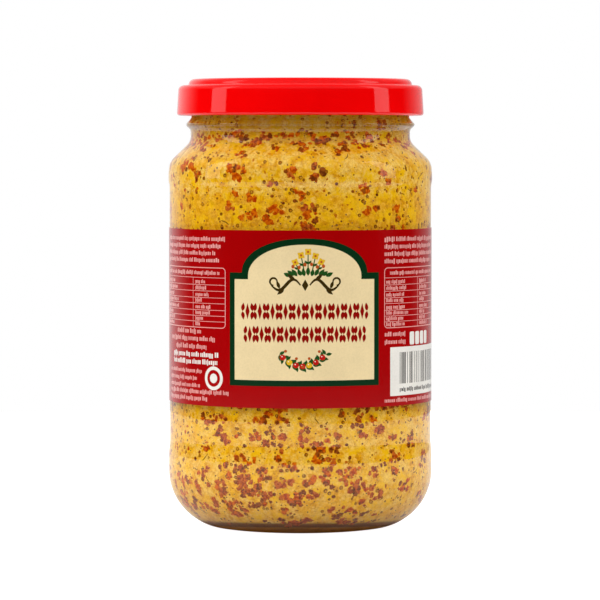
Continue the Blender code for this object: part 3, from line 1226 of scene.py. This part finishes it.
    def build_seeds(self, side: FillSide) -> Piece:
        """Whole seeds, flattened where the glass presses on them.

        Args:
            side: The mustard's side.

        Returns:
            The piece.
        """
        draw = random.Random(self.seed + 4)
        pile = Scatter(side)
        rings, sides = 6, 14
        tilts = math.pi * np.arange(1, rings) / rings
        around = 2 * math.pi * np.arange(sides) / sides
        x = np.concatenate([[0.0], np.outer(np.sin(tilts), np.cos(around)).ravel(), [0.0]])
        y = np.concatenate([[0.0], np.outer(np.sin(tilts), np.sin(around)).ravel(), [0.0]]) * 0.92
        lift = np.concatenate([[0.1], np.repeat(-0.22 + 0.32 * np.cos(tilts), sides), [-0.54]])
        faces, pressed = [], []
        last = 1 + (rings - 1) * sides
        for step in range(sides):
            after = (step + 1) % sides
            faces.extend([(0, 1 + step, 1 + after), (last, last - sides + after, last - sides + step)])
            pressed.extend([True, False])
            for ring in range(rings - 2):
                near, far = 1 + ring * sides, 1 + (ring + 1) * sides
                faces.append((near + step, far + step, far + after, near + after))
                pressed.append(ring < 1)
        centres = [((side.length_at(z), math.radians(a)), size) for a, z, size in self.seed_marks]
        low, high = self.ends(side)
        while len(centres) < self.seeds:
            place = side.random_place(draw, low, high)
            if abs(place[1]) < math.radians(50) and draw.random() < 0.6:
                continue
            centres.append((place, draw.uniform(0.5, 0.85)))
        for centre, size in centres:
            long_way, turn = size * draw.uniform(1.0, 1.18), draw.uniform(-1.5, 1.5)
            coat = draw.choice((0, 0, 1))
            shades = [coat if flat else 2 for flat in pressed]
            pile.add(centre, *rotated(x * long_way, y * size, turn), lift, faces, shades)
        return pile.finish(Grain.SEED)

    def build_slivers(self, side: FillSide) -> Piece:
        """Thin curved slivers of seed coat.

        Args:
            side: The mustard's side.

        Returns:
            The piece.
        """
        draw = random.Random(self.seed + 5)
        pile = Scatter(side)
        low, high = self.ends(side)
        row = 7
        spine = np.linspace(-1, 1, row)
        width = 0.11 * np.sqrt(np.maximum(1 - spine**2, 0.0)) + 0.01
        lift = np.repeat([0.0, 0.06, 0.0, -0.1], row)
        lanes = ((0, row), (row, 2 * row), (2 * row, 3 * row), (3 * row, 0))
        faces = [
            (far + step, far + step + 1, near + step + 1, near + step)
            for near, far in lanes
            for step in range(row - 1)
        ]
        faces += [(0, row, 2 * row, 3 * row), (4 * row - 1, 3 * row - 1, 2 * row - 1, row - 1)]
        for _ in range(self.slivers):
            centre = side.random_place(draw, low, high)
            size, turn = draw.uniform(0.7, 1.8), draw.uniform(-1.2, 1.2)
            middle = draw.uniform(-0.35, 0.35) * size * (1 - spine**2)
            x = np.tile(spine * size, 4)
            y = np.concatenate([middle + width, middle, middle - width, middle])
            pile.add(centre, *rotated(x, y, turn), lift, faces, 0)
        return pile.finish(Grain.SLIVER)

    def build(self) -> list[Piece]:
        """Builds the paste and its grains.

        Returns:
            The pieces, all in place of the mustard's solid.
        """
        outline = self.outline()
        coat = PasteFinish().material("paste")
        paste = turned_piece("mustard_paste", refine(outline, 2.0), self.segments, [coat])
        side = FillSide(outline[:-1], self.label)
        makers = {
            Grain.HUSK: self.build_husks,
            Grain.SEED: self.build_seeds,
            Grain.SLIVER: self.build_slivers,
        }
        pieces = [paste]
        for kind in Grain:
            pieces.append(self.build_lenses(side, kind) if kind in LENSES else makers[kind](side))
        for piece in pieces:
            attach(piece, BODY)
            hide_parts("mustard")
        return pieces


class Ink(Enum):
    """The label's colours, as seen on screen. The last is the bare paper of its cut edges."""

    RED = (168, 0, 3)
    GREEN = (8, 48, 22)
    CREAM = (243, 220, 170)
    MAROON = (146, 12, 6)
    OLIVE = (60, 44, 12)
    LEAF = (34, 78, 30)
    PETAL = (232, 184, 40)
    BUD = (186, 82, 34)
    BERRY = (196, 30, 22)
    PALE = (234, 166, 160)
    WHITE = (242, 238, 230)
    BLACK = (34, 30, 30)
    PAPER = (236, 230, 216)


class Artwork:
    """Flat printed shapes in millimetres round the jar and up it, later ones on top."""

    def __init__(self, seed: int) -> None:
        """Starts with no shapes, and with its own source of random numbers."""
        self.shapes: list[tuple[Outline, Ink]] = []
        self.draw = random.Random(seed)

    def add(self, outline: Outline, ink: Ink) -> None:
        """Prints one shape.

        Args:
            outline: Its corners in order, either way round.
            ink: Its colour.
        """
        after = outline[1:] + outline[:1]
        area = sum(a[0] * b[1] - b[0] * a[1] for a, b in zip(outline, after))
        self.shapes.append((outline if area > 0 else outline[::-1], ink))

    def bar(self, left: float, low: float, right: float, high: float, ink: Ink) -> None:
        """Prints an upright rectangle between two corners in one ink."""
        self.add([(left, low), (right, low), (right, high), (left, high)], ink)

    def rounded(
        self, left: float, low: float, right: float, high: float, corner: float, ink: Ink
    ) -> None:
        """Prints a rectangle with rounded corners.

        Args:
            left: Its left edge.
            low: Its lower edge.
            right: Its right edge.
            high: Its upper edge.
            corner: The radius of its corners.
            ink: Its colour.
        """
        outline = []
        x0, y0, x1, y1 = left + corner, low + corner, right - corner, high - corner
        for x, y, start in ((x1, y0, -90), (x1, y1, 0), (x0, y1, 90), (x0, y0, 180)):
            outline += arc((x, y), corner, math.radians(start), math.radians(start + 90), 4)
        self.add(outline, ink)

    def oval(self, x: float, y: float, wide: float, high: float, ink: Ink, steps: int = 20) -> None:
        """Prints an oval with the given centre and half sizes in one ink."""
        turns = [2 * math.pi * i / steps for i in range(steps)]
        self.add([(x + wide * math.cos(t), y + high * math.sin(t)) for t in turns], ink)

    def leaf(self, x: float, y: float, length: float, width: float, turn: float, ink: Ink) -> None:
        """Prints a pointed leaf.

        Args:
            x: Its foot, round the jar.
            y: Its foot, up the jar.
            length: Its length.
            width: Its full width.
            turn: Its direction in degrees from level.
            ink: Its colour.
        """
        shares = [i / 5 for i in range(6)]
        upper = [(s * length, width / 2 * math.sin(math.pi * s**0.85)) for s in shares]
        lower = [(a, -b) for a, b in upper[-2:0:-1]]
        self.add(self.turned(upper + lower, x, y, turn), ink)

    def stroke(self, points: Outline, width: float, ink: Ink, taper: float = 0.4) -> None:
        """Prints a line that narrows towards both ends.

        Args:
            points: The points that it follows.
            width: Its width at the middle.
            ink: Its colour.
            taper: The width at its ends as a share of that.
        """
        left, right = [], []
        last = len(points) - 1
        for i, (x, y) in enumerate(points):
            before, after = points[max(i - 1, 0)], points[min(i + 1, last)]
            run = math.hypot(after[0] - before[0], after[1] - before[1]) or 1.0
            half = width / 2 * (taper + (1 - taper) * math.sin(math.pi * i / last))
            dx, dy = -(after[1] - before[1]) / run * half, (after[0] - before[0]) / run * half
            left.append((x + dx, y + dy))
            right.append((x - dx, y - dy))
        self.add(left + right[::-1], ink)

    @staticmethod
    def turned(outline: Outline, x: float, y: float, turn: float) -> Outline:
        """An outline turned by degrees about its origin and moved to a place."""
        c, s = math.cos(math.radians(turn)), math.sin(math.radians(turn))
        return [(x + a * c - b * s, y + a * s + b * c) for a, b in outline]

    def words(self, start: float, end: float, base: float, height: float, ink: Ink) -> None:
        """Prints a row of short upright ticks in groups, at the scale of small print.

        Args:
            start: The row's left end.
            end: Its right end.
            base: Its base line.
            height: The ticks' usual height.
            ink: Its colour.
        """
        draw = self.draw
        x = start
        while x < end - 0.5:
            stop = min(x + draw.uniform(1.4, 4.4) * height / 0.8, end)
            while x < stop:
                wide = height * draw.choice((0.3, 0.42, 0.55))
                top = height * draw.choice((0.92, 1.0, 1.0, 1.3))
                foot = -height * draw.choice((0.0, 0.0, 0.0, 0.0, 0.28))
                self.bar(x, base + foot, x + wide, base + top, ink)
                x += wide + 0.2 * height
            x += 0.45 * height


class LabelPrint(Artwork):
    """The label's print: a red ground, small print on both sides, and a framed picture panel."""

    centre: float = 1.25
    seed: int = 5

    def __init__(self, half_length: float, bottom: float, top: float) -> None:
        """Prints everything, the lowest first.

        Args:
            half_length: Half the label's length round the jar.
            bottom: The label's lower edge.
            top: Its upper edge.
        """
        super().__init__(self.seed)
        self.bar(-half_length, bottom, half_length, top, Ink.RED)
        self.left_block()
        self.right_block()
        self.add(self.panel_outline(20.45, 39.2, 68.45, 16.9, 68.45, 77.35), Ink.GREEN)
        self.add(self.panel_outline(18.97, 40.72, 66.75, 15.1, 67.7, 75.75), Ink.CREAM)
        self.sprig()
        self.flourish()
        self.frieze(56.4, 60.6, -15.7, 18.3, 10)
        self.frieze(50.5, 54.7, -15.0, 17.6, 10)
        self.garland()

    def panel_outline(
        self, half: float, low: float, step: float, arch_half: float, spring: float, crown: float
    ) -> Outline:
        """A panel with square shoulders and an arched top.

        Args:
            half: Half its width.
            low: Its bottom.
            step: The height of its shoulders.
            arch_half: Half the arch's width.
            spring: The height where the arch starts to curve.
            crown: The arch's top.

        Returns:
            Its corners in order.
        """
        c = self.centre
        outline = [(c - half, low), (c + half, low), (c + half, step)]
        if spring > step:
            outline.append((c + arch_half, step))
        for turn in np.linspace(0, math.pi, 29):
            x = math.copysign(abs(math.cos(turn)) ** 0.95, math.cos(turn))
            outline.append((c + arch_half * x, spring + (crown - spring) * math.sin(turn)))
        if spring > step:
            outline.append((c - arch_half, step))
        return outline + [(c - half, step)]

    def frieze(self, low: float, high: float, left: float, right: float, units: int) -> None:
        """A row of diamonds between pairs of leaves.

        Args:
            low: Its bottom.
            high: Its top.
            left: Its left end.
            right: Its right end.
            units: How many diamonds it has.
        """
        middle, pitch, half = (low + high) / 2, (right - left) / units, (high - low) / 2
        for unit in range(units):
            x = left + (unit + 0.5) * pitch
            self.add([(x, low), (x + 0.6, middle), (x, high), (x - 0.6, middle)], Ink.MAROON)
            for side in (-1, 1):
                for way in (1, -1):
                    foot, turn = x + side * 0.42 * pitch, way * (90 + side * 8)
                    self.leaf(foot, middle, half * 1.06, 1.05, turn, Ink.MAROON)

    def flourish(self) -> None:
        """Thin facing scrolls with a small diamond between them."""
        c, y = self.centre, 65.3
        for side in (-1, 1):
            curve = []
            for i in range(25):
                s = i / 24
                wave = 1.6 * math.sin(2 * math.pi * s) * (1 - 0.3 * s)
                curve.append((c + side * (1.2 + 7.6 * s), y + wave))
            self.stroke(curve, 0.85, Ink.OLIVE)
            turns = arc((0.0, 0.0), 0.95, -math.pi / 2, 1.1 * math.pi, 12)
            curl = [(c + side * (8.2 + a), y + 0.9 + b) for a, b in turns]
            self.stroke(curl, 0.55, Ink.OLIVE, 0.6)
            for x, up, length, width, turn in (
                (2.6, 1.2, 2.6, 1.0, 90 - side * 50),
                (5.4, -0.9, 2.4, 1.0, -90 + side * 50),
                (6.6, -0.9, 2.2, 0.9, 90 - side * 20),
            ):
                self.leaf(c + side * x, y + up, length, width, turn, Ink.OLIVE)
        self.add([(c, y - 1.5), (c + 0.85, y), (c, y + 1.5), (c - 0.85, y)], Ink.OLIVE)

    def sprig(self) -> None:
        """A flowering sprig over a low bush of leaves."""
        cx, foot = 2.0, 67.6
        for i in range(11):
            x = cx - 4.6 + 0.92 * i
            lean = 90 - (x - cx) * 14
            self.leaf(x, foot + 0.15 * (i % 2), 1.9 + 0.5 * ((i * 7) % 3) / 2, 1.1, lean, Ink.LEAF)
        stems = ((-2.9, 3.6, 112), (-1.5, 5.4, 101), (0.0, 6.3, 90), (1.6, 5.2, 78), (3.0, 3.7, 66))
        for x, length, turn in stems:
            tip_x = cx + x + 0.3 * length * math.cos(math.radians(turn))
            tip_y = foot + length
            stem = [(cx + x * 0.55, foot + 0.4), (cx + x * 0.85, foot + length * 0.5), (tip_x, tip_y)]
            self.stroke(stem, 0.3, Ink.LEAF, 0.8)
            for side in (-1, 1):
                self.leaf(cx + x * 0.85, foot + length * 0.5, 1.3, 0.6, turn + side * 45, Ink.LEAF)
            for petal in range(4):
                self.leaf(tip_x, tip_y, 1.1, 0.95, turn + 45 + 90 * petal, Ink.PETAL)
            self.oval(tip_x, tip_y, 0.3, 0.3, Ink.BUD, 8)
        for x, y in ((-3.9, 2.5), (-2.3, 2.3), (-0.8, 3.0), (0.9, 3.1), (2.4, 2.4), (4.0, 2.6)):
            self.oval(cx + x, foot + y, 0.42, 0.5, Ink.BUD, 10)

    def garland(self) -> None:
        """A hanging garland of leaves with berries and flowers."""
        cx, y0 = 0.6, 46.4
        spots = []
        for i in range(15):
            s = -1 + 2 * i / 14
            spots.append((cx + 6.0 * s, y0 - 3.1 * (1 - s * s) + 1.0))
        for i, (x, y) in enumerate(spots):
            slope = math.degrees(math.atan2(6.2 * (2 * i / 14 - 1), 6.0))
            for side in (-1, 1):
                self.leaf(x, y, 1.7, 0.85, slope + side * 58 + (0 if i % 2 else 20), Ink.LEAF)
        for i, (x, y) in enumerate(spots[1:-1:2]):
            ink = (Ink.BERRY, Ink.PETAL, Ink.BERRY)[i % 3]
            self.oval(x, y + 0.1, 0.78, 0.74, ink, 14)
            self.oval(x - 0.2, y + 0.32, 0.18, 0.16, Ink.WHITE, 6)
        for x, y in ((-4.4, 2.1), (-1.6, 0.2), (1.7, 0.2), (4.3, 2.0), (0.0, -1.9)):
            self.oval(cx + x, y0 + y - 0.2, 0.4, 0.4, Ink.BUD, 8)

    def table(self, left: float, right: float, divider: float) -> None:
        """A ruled table with rounded corners and two columns of ticks.

        Args:
            left: Its left edge.
            right: Its right edge.
            divider: The line between its columns.
        """
        low, high, line = 53.8, 69.6, 0.22
        self.rounded(left, low, right, high, 1.1, Ink.PALE)
        self.rounded(left + line, low + line, right - line, high - line, 0.9, Ink.RED)
        rows = [66.9, 65.04, 63.43, 61.69, 60.21, 58.47, 56.97, 55.5]
        for y in rows:
            self.bar(left + line, y - 0.07, right - line, y + 0.07, Ink.PALE)
        self.bar(divider - 0.07, low + line, divider + 0.07, rows[0], Ink.PALE)
        self.words(left + 2.0, right - 2.0, 67.7, 0.8, Ink.PALE)
        for y in rows[1:] + [54.0]:
            for start, shortest, longest in ((left + 0.7, 4.5, 9.5), (divider + 1.0, 2.5, 5.5)):
                end = start + self.draw.uniform(shortest, longest)
                self.words(start, end, y + 0.38, 0.75, Ink.PALE)

    def left_block(self) -> None:
        """The left side's small print, table and ring mark."""
        for i, end in enumerate((-20.1, -21.3, -23.9, -22.8)):
            self.words(-49.0, end, 76.5 - 1.85 * i, 0.85, Ink.PALE)
        self.table(-50.5, -20.5, -32.4)
        for y, start, end in ((52.3, -41.0, -29.0), (50.4, -46.0, -24.0), (48.3, -42.0, -27.0)):
            self.words(start, end, y, 0.95, Ink.PALE)
        for y in (46.2, 44.3):
            self.words(-44.0, -23.2, y, 1.0, Ink.WHITE)
        for i, end in enumerate((-29.0, -31.0, -29.5)):
            self.words(-47.0, end, 42.0 - 1.9 * i, 0.8, Ink.PALE)
        for half, ink in ((3.1, Ink.WHITE), (2.2, Ink.RED), (1.25, Ink.WHITE)):
            self.oval(-24.5, 40.8, half, half, ink, 32)
        for i, end in enumerate((-19.6, -27.0)):
            self.words(-47.0, end, 36.6 - 1.75 * i, 0.85, Ink.PALE)

    def right_block(self) -> None:
        """The right side's small print, table, bold block and bar pattern."""
        for i in range(4):
            self.words(23.6, 50.0 - 2 * (i % 2), 76.4 - 1.9 * i, 0.9, Ink.PALE)
        self.table(23.5, 51.0, 37.5)
        for y in (51.7, 49.7):
            self.words(23.7, 31.6, y, 0.9, Ink.PALE)
        for i in range(4):
            left = 33.5 + 2.75 * i
            self.rounded(left, 49.2, left + 2.2, 52.6, 0.5, Ink.WHITE)
        self.bar(25.6, 36.1, 56.0, 48.8, Ink.WHITE)
        x = 29.2
        while x < 53.0:
            width = self.draw.choice((0.22, 0.22, 0.36, 0.55))
            self.bar(x, 39.2, x + width, 47.4, Ink.BLACK)
            x += width + self.draw.choice((0.3, 0.3, 0.5, 0.75))
        self.words(29.2, 53.0, 37.2, 0.85, Ink.BLACK)
        self.words(23.7, 50.0, 34.5, 0.8, Ink.PALE)


@dataclass
class PaperLabel:
    """The printed paper label round the panel, open at the back."""

    radius: float = 34.98
    inner_radius: float = 34.84
    bottom: float = 33.5
    top: float = 79.4
    half_span: float = math.radians(180 - 12.86)
    strip: float = 1.2

    def cut(self) -> tuple[list[Vector], list[tuple[int, ...]], list[int]]:
        """Cuts the print into faces that each lie within one ink and one upright strip.

        Returns:
            The flat corners, the faces as corner numbers, and each face's ink number.
        """
        end = self.half_span * self.radius
        corners, edges, outlines, inks = [], [], [], []
        for outline, ink in LabelPrint(end, self.bottom, self.top).shapes:
            first = len(corners)
            corners.extend(Vector(point) for point in outline)
            outlines.append(list(range(first, len(corners))))
            inks.append(list(Ink).index(ink))
        strips = math.ceil(2 * end / self.strip)
        for strip in range(1, strips):
            u = -end + 2 * end * strip / strips
            edges.append((len(corners), len(corners) + 1))
            corners.extend([Vector((u, self.bottom)), Vector((u, self.top))])
        flat, _, faces, _, _, owners = delaunay_2d_cdt(corners, edges, outlines, 1, 1e-4)
        front, shades = [], []
        for face, owner in zip(faces, owners):
            a, b, c = (flat[corner] for corner in face)
            area = (b - a).cross(c - a)
            if owner and abs(area) >= 1e-7:
                front.append(tuple(face) if area > 0 else tuple(face[::-1]))
                shades.append(inks[max(owner)])
        return flat, front, shades

    def build(self) -> Piece:
        """Prints the label, cuts it into upright strips and wraps it round the jar.

        Returns:
            The label, in place of its solid.
        """
        flat, front, shades = self.cut()
        count = len(flat)
        points = [
            (radius * math.sin(spot.x / self.radius), -radius * math.cos(spot.x / self.radius), spot.y)
            for radius in (self.radius, self.inner_radius)
            for spot in flat
        ]
        sides = dict.fromkeys(pair for face in front for pair in zip(face, face[1:] + face[:1]))
        rims = [(b, a, a + count, b + count) for a, b in sides if (b, a) not in sides]
        back = [tuple(corner + count for corner in face[::-1]) for face in front]
        shades += [list(Ink).index(Ink.PAPER)] * (len(back) + len(rims))
        papers = [InkFinish(ink.value).material("ink_" + ink.name.lower()) for ink in Ink]
        piece = add_piece("paper_label", points, front + back + rims, papers, shades)
        self.smooth(piece, len(front), len(back))
        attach(piece, BODY)
        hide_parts("label")
        return piece

    @staticmethod
    def smooth(piece: Piece, front: int, back: int) -> None:
        """Shades both sides of the sheet as true curves and its cut edge flat.

        Args:
            piece: The label.
            front: How many faces its outer side has.
            back: How many faces its inner side has.
        """
        mesh = piece.data
        normals = []
        for polygon in mesh.polygons:
            for corner in polygon.vertices:
                point = mesh.vertices[corner].co
                outward = Vector((point.x, point.y, 0.0)).normalized()
                inside = polygon.index < front + back
                curved = outward if polygon.index < front else -outward
                normals.append(curved if inside else polygon.normal.copy())
        mesh.normals_split_custom_set(normals)


@dataclass
class TwistLid:
    """The lid, pressed from sheet: a raised ring, a safety button, a shoulder and a rolled edge."""

    segments: int = 192
    top: float = 118.8
    sheet: float = 0.3
    panel_height: float = 118.2
    panel_radius: float = 24.0
    button_height: float = 118.55
    button_radius: float = 9.5
    button_flat: float = 5.7
    button_fall: float = 0.08
    ring_inner: float = 25.0
    ring_outer: float = 29.7
    ring_corner: float = 1.5
    shoulder_height: float = 117.15
    shoulder_radius: float = 32.45
    shoulder_corner: float = 1.4
    skirt_radius: float = 32.8
    curl_height: float = 109.85
    curl_radius: float = 0.78
    finish: LacquerFinish = field(default_factory=LacquerFinish)

    def outline(self) -> Outline:
        """The outer side of the sheet.

        Returns:
            Points from the middle of the top, out, down and round the rolled edge.
        """
        high, rolled = self.button_height, self.button_height - self.button_fall
        button = [(0.0, high)]
        button += ease((self.button_flat * 0.2, high), (self.button_flat, rolled), 3)
        button += press((self.button_flat, rolled), (self.button_radius, self.panel_height), 6)[1:]
        button += press((self.panel_radius, self.panel_height), (self.ring_inner, self.top), 8)
        ring_centre = (self.ring_outer - self.ring_corner, self.top - self.ring_corner)
        ring = arc(ring_centre, self.ring_corner, math.pi / 2, 0.06, 10)
        foot = (ring[-1][0] + 0.12, self.shoulder_height + 0.06)
        corner = self.shoulder_corner
        shoulder_centre = (self.shoulder_radius - corner, self.shoulder_height - corner)
        shoulder = arc(shoulder_centre, corner, math.pi / 2, 0.05, 12)
        curl_centre = (self.skirt_radius - self.curl_radius, self.curl_height)
        curl = arc(curl_centre, self.curl_radius, 0.05, -math.radians(225), 20)
        return button + ring + [foot] + shoulder + curl

    def inner_side(self, outline: Outline) -> Outline:
        """The same outline moved in by the sheet's thickness.

        Args:
            outline: The outer side.

        Returns:
            The inner side, from the rolled edge back to the middle.
        """
        points = np.array(outline)
        ahead = np.vstack([points[1:], points[-1:]])
        behind = np.vstack([points[:1], points[:-1]])
        along = ahead - behind
        along /= np.linalg.norm(along, axis=1)[:, None]
        inward = np.stack([along[:, 1], -along[:, 0]], axis=1)
        moved = points + inward * self.sheet
        moved[0] = (0.0, outline[0][1] - self.sheet)
        return [tuple(point) for point in moved[::-1]]

    def build(self) -> Piece:
        """Builds the lid and dresses it.

        Returns:
            The lid, in place of its solid.
        """
        outer = refine(self.outline(), 1.5)
        sheet = outer + self.inner_side(outer)
        piece = turned_piece("twist_lid", sheet, self.segments, [self.finish.material("lid_lacquer")])
        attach(piece, BODY)
        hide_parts("lid")
        return piece


@dataclass
class Studio:
    """A pale table in a plain white studio, with soft light from above and from both sides."""

    camera_distance: float = 985.8
    camera_height: float = 102.6
    camera_aside: float = -0.08
    camera_pitch: float = 2.474
    focal_length: float = 222.0
    table_radius: float = 420.0
    table_depth: float = 3.0
    table_gap: float = 0.03
    table_colours: tuple[Colour, Colour] = ((222, 222, 221), (218, 218, 217))
    table_glow: float = 0.96
    # Painted shadow: under and round the jar's foot, between the radii below, the table top is mixed
    # towards this dark brown.
    contact_shadow_colour: Colour = (96, 60, 18)
    contact_shadow_radii: Pair = (24.0, 31.0)
    box_angle: float = 81.0
    box_distance: float = 800.0
    box_width: float = 240.0
    box_low: float = 92.0
    box_high: float = 1000.0
    box_radiance: float = 1.5
    front_sky: float = 1.34
    left_sky: float = 1.4
    right_sky: float = 0.4

    def camera(self) -> None:
        """Sets the camera, level with the lid's lower edge and tipped slightly down."""
        lens = bpy.data.cameras.new("camera")
        lens.lens = self.focal_length
        lens.sensor_width = 36.0
        lens.clip_start = 0.01
        eye = bpy.data.objects.new("camera", lens)
        eye.location = Vector((self.camera_aside, -self.camera_distance, self.camera_height)) * MM
        eye.rotation_euler = (math.radians(90 - self.camera_pitch), 0.0, 0.0)
        bpy.context.scene.collection.objects.link(eye)
        bpy.context.scene.camera = eye

    def table(self) -> None:
        """Makes the pale table top, a low round slab, with a painted shadow round the jar's foot."""
        sheet = MaterialSheet("table_top")
        place = sheet.place()
        cloud = sheet.span(sheet.noise(place, 60.0, 3.0), 0.3, 0.7)
        distance = sheet.node("ShaderNodeVectorMath", operation="LENGTH")
        sheet.link(place, distance.inputs[0])
        # Painted shadow round the jar's foot. The glow for camera rays covers most of it, so it shows
        # mainly through the glass and in its gloss.
        inner, outer = self.contact_shadow_radii
        near = sheet.span(distance.outputs["Value"], inner * MM, outer * MM, (1.0, 0.0))
        sheet.paint(sheet.mix(near, sheet.mix(cloud, *self.table_colours), self.contact_shadow_colour))
        sheet.set(Roughness=0.8, Specular_IOR_Level=0.0)
        sheet.shader.inputs["Emission Color"].default_value = WHITE
        seen = sheet.node("ShaderNodeLightPath").outputs["Is Camera Ray"]
        glow = sheet.math("MULTIPLY", seen, self.table_glow)
        sheet.link(glow, sheet.shader.inputs["Emission Strength"])
        top, low = -self.table_gap, -self.table_depth
        outline = [(0.0, low), (self.table_radius, low), (self.table_radius, top), (0.0, top)]
        turned_piece("table_top", outline, 96, [sheet.material])

    def sky(self) -> None:
        """Lights the room, brighter to the sides, and gives gloss a calmer room, dark low down.

        The ranges are directions: x to the right, y away from the front, z up, each from -1 to 1.
        """
        world = bpy.data.worlds.new("studio")
        bpy.context.scene.world = world
        world.use_nodes = True
        world.node_tree.nodes.clear()
        sheet = NodeSheet(world.node_tree)
        direction = sheet.node("ShaderNodeSeparateXYZ")
        sheet.link(sheet.node("ShaderNodeTexCoord").outputs["Generated"], direction.inputs[0])
        x, y, z = (direction.outputs[axis] for axis in "XYZ")
        left = sheet.span(x, -0.9, -0.3, (self.left_sky, 0.0))
        right = sheet.span(x, 0.3, 0.9, (0.0, self.right_sky))
        front = sheet.span(z, 0.14, 0.2, (0.0, self.front_sky))
        around = sheet.math("ADD", sheet.math("ADD", left, right), front)
        rise = sheet.math("MULTIPLY", sheet.span(z, 0.14, 0.36), sheet.span(z, 0.8, 0.98, (1.0, 0.6)))
        light = sheet.math("MAXIMUM", sheet.math("MULTIPLY", around, rise), sheet.span(y, 0.35, 0.85))
        above = sheet.math(
            "MULTIPLY", sheet.span(z, 0.12, 0.45, (0.012, 0.32)), sheet.span(z, 0.8, 0.95, (1.0, 0.5))
        )
        behind = sheet.math(
            "MULTIPLY", sheet.span(y, 0.3, 0.9, (0.0, 0.85)), sheet.span(x, -0.2, 0.6, (1.0, 0.55))
        )
        shine = sheet.math("MAXIMUM", above, behind)
        path = sheet.node("ShaderNodeLightPath")
        seen = sheet.math("MAXIMUM", path.outputs["Is Camera Ray"], path.outputs["Is Transmission Ray"])
        lit = sheet.node("ShaderNodeMix", data_type="FLOAT")
        for start, end in zip((path.outputs["Is Glossy Ray"], light, shine), (0, 2, 3)):
            sheet.link(start, lit.inputs[end])
        background = sheet.node("ShaderNodeBackground")
        background.inputs["Color"].default_value = WHITE
        sheet.link(sheet.math("MAXIMUM", lit.outputs[0], seen), background.inputs["Strength"])
        sheet.link(background.outputs[0], sheet.node("ShaderNodeOutputWorld").inputs["Surface"])

    def side_light(self, side: int) -> None:
        """Adds one tall soft box.

        Args:
            side: -1 for the left, 1 for the right.
        """
        lamp = bpy.data.lights.new("soft_box", "AREA")
        lamp.shape = "RECTANGLE"
        lamp.size = self.box_width * MM
        lamp.size_y = (self.box_high - self.box_low) * MM
        lamp.energy = self.box_radiance * math.pi * lamp.size * lamp.size_y
        angle = math.radians(self.box_angle) * side
        place = Vector((math.sin(angle), -math.cos(angle), 0.0)) * self.box_distance
        place.z = (self.box_low + self.box_high) / 2
        turn = (Vector((0.0, 0.0, place.z)) - place).to_track_quat("-Z", "Y")
        box = bpy.data.objects.new("soft_box", lamp)
        box.matrix_world = Matrix.Translation(place * MM) @ turn.to_matrix().to_4x4()
        box.visible_camera = False
        bpy.context.scene.collection.objects.link(box)

    def build(self) -> None:
        """Sets the camera, the table and the lights."""
        bpy.context.scene.view_settings.view_transform = "Standard"
        self.camera()
        self.table()
        self.sky()
        for side in (-1, 1):
            self.side_light(side)


def main() -> None:
    """Builds the jar from the glass outwards, then the studio, and reports each piece."""
    logging.basicConfig(level=logging.INFO, format="%(name)s: %(message)s")
    glass, label = GlassBody(), PaperLabel()
    pieces = [glass.build(), *MustardFill(glass, label).build(), label.build(), TwistLid().build()]
    Studio().build()
    for piece in pieces:
        log.info("%s: %d faces", piece.name, len(piece.data.polygons))


if __name__ == "__main__":
    main()
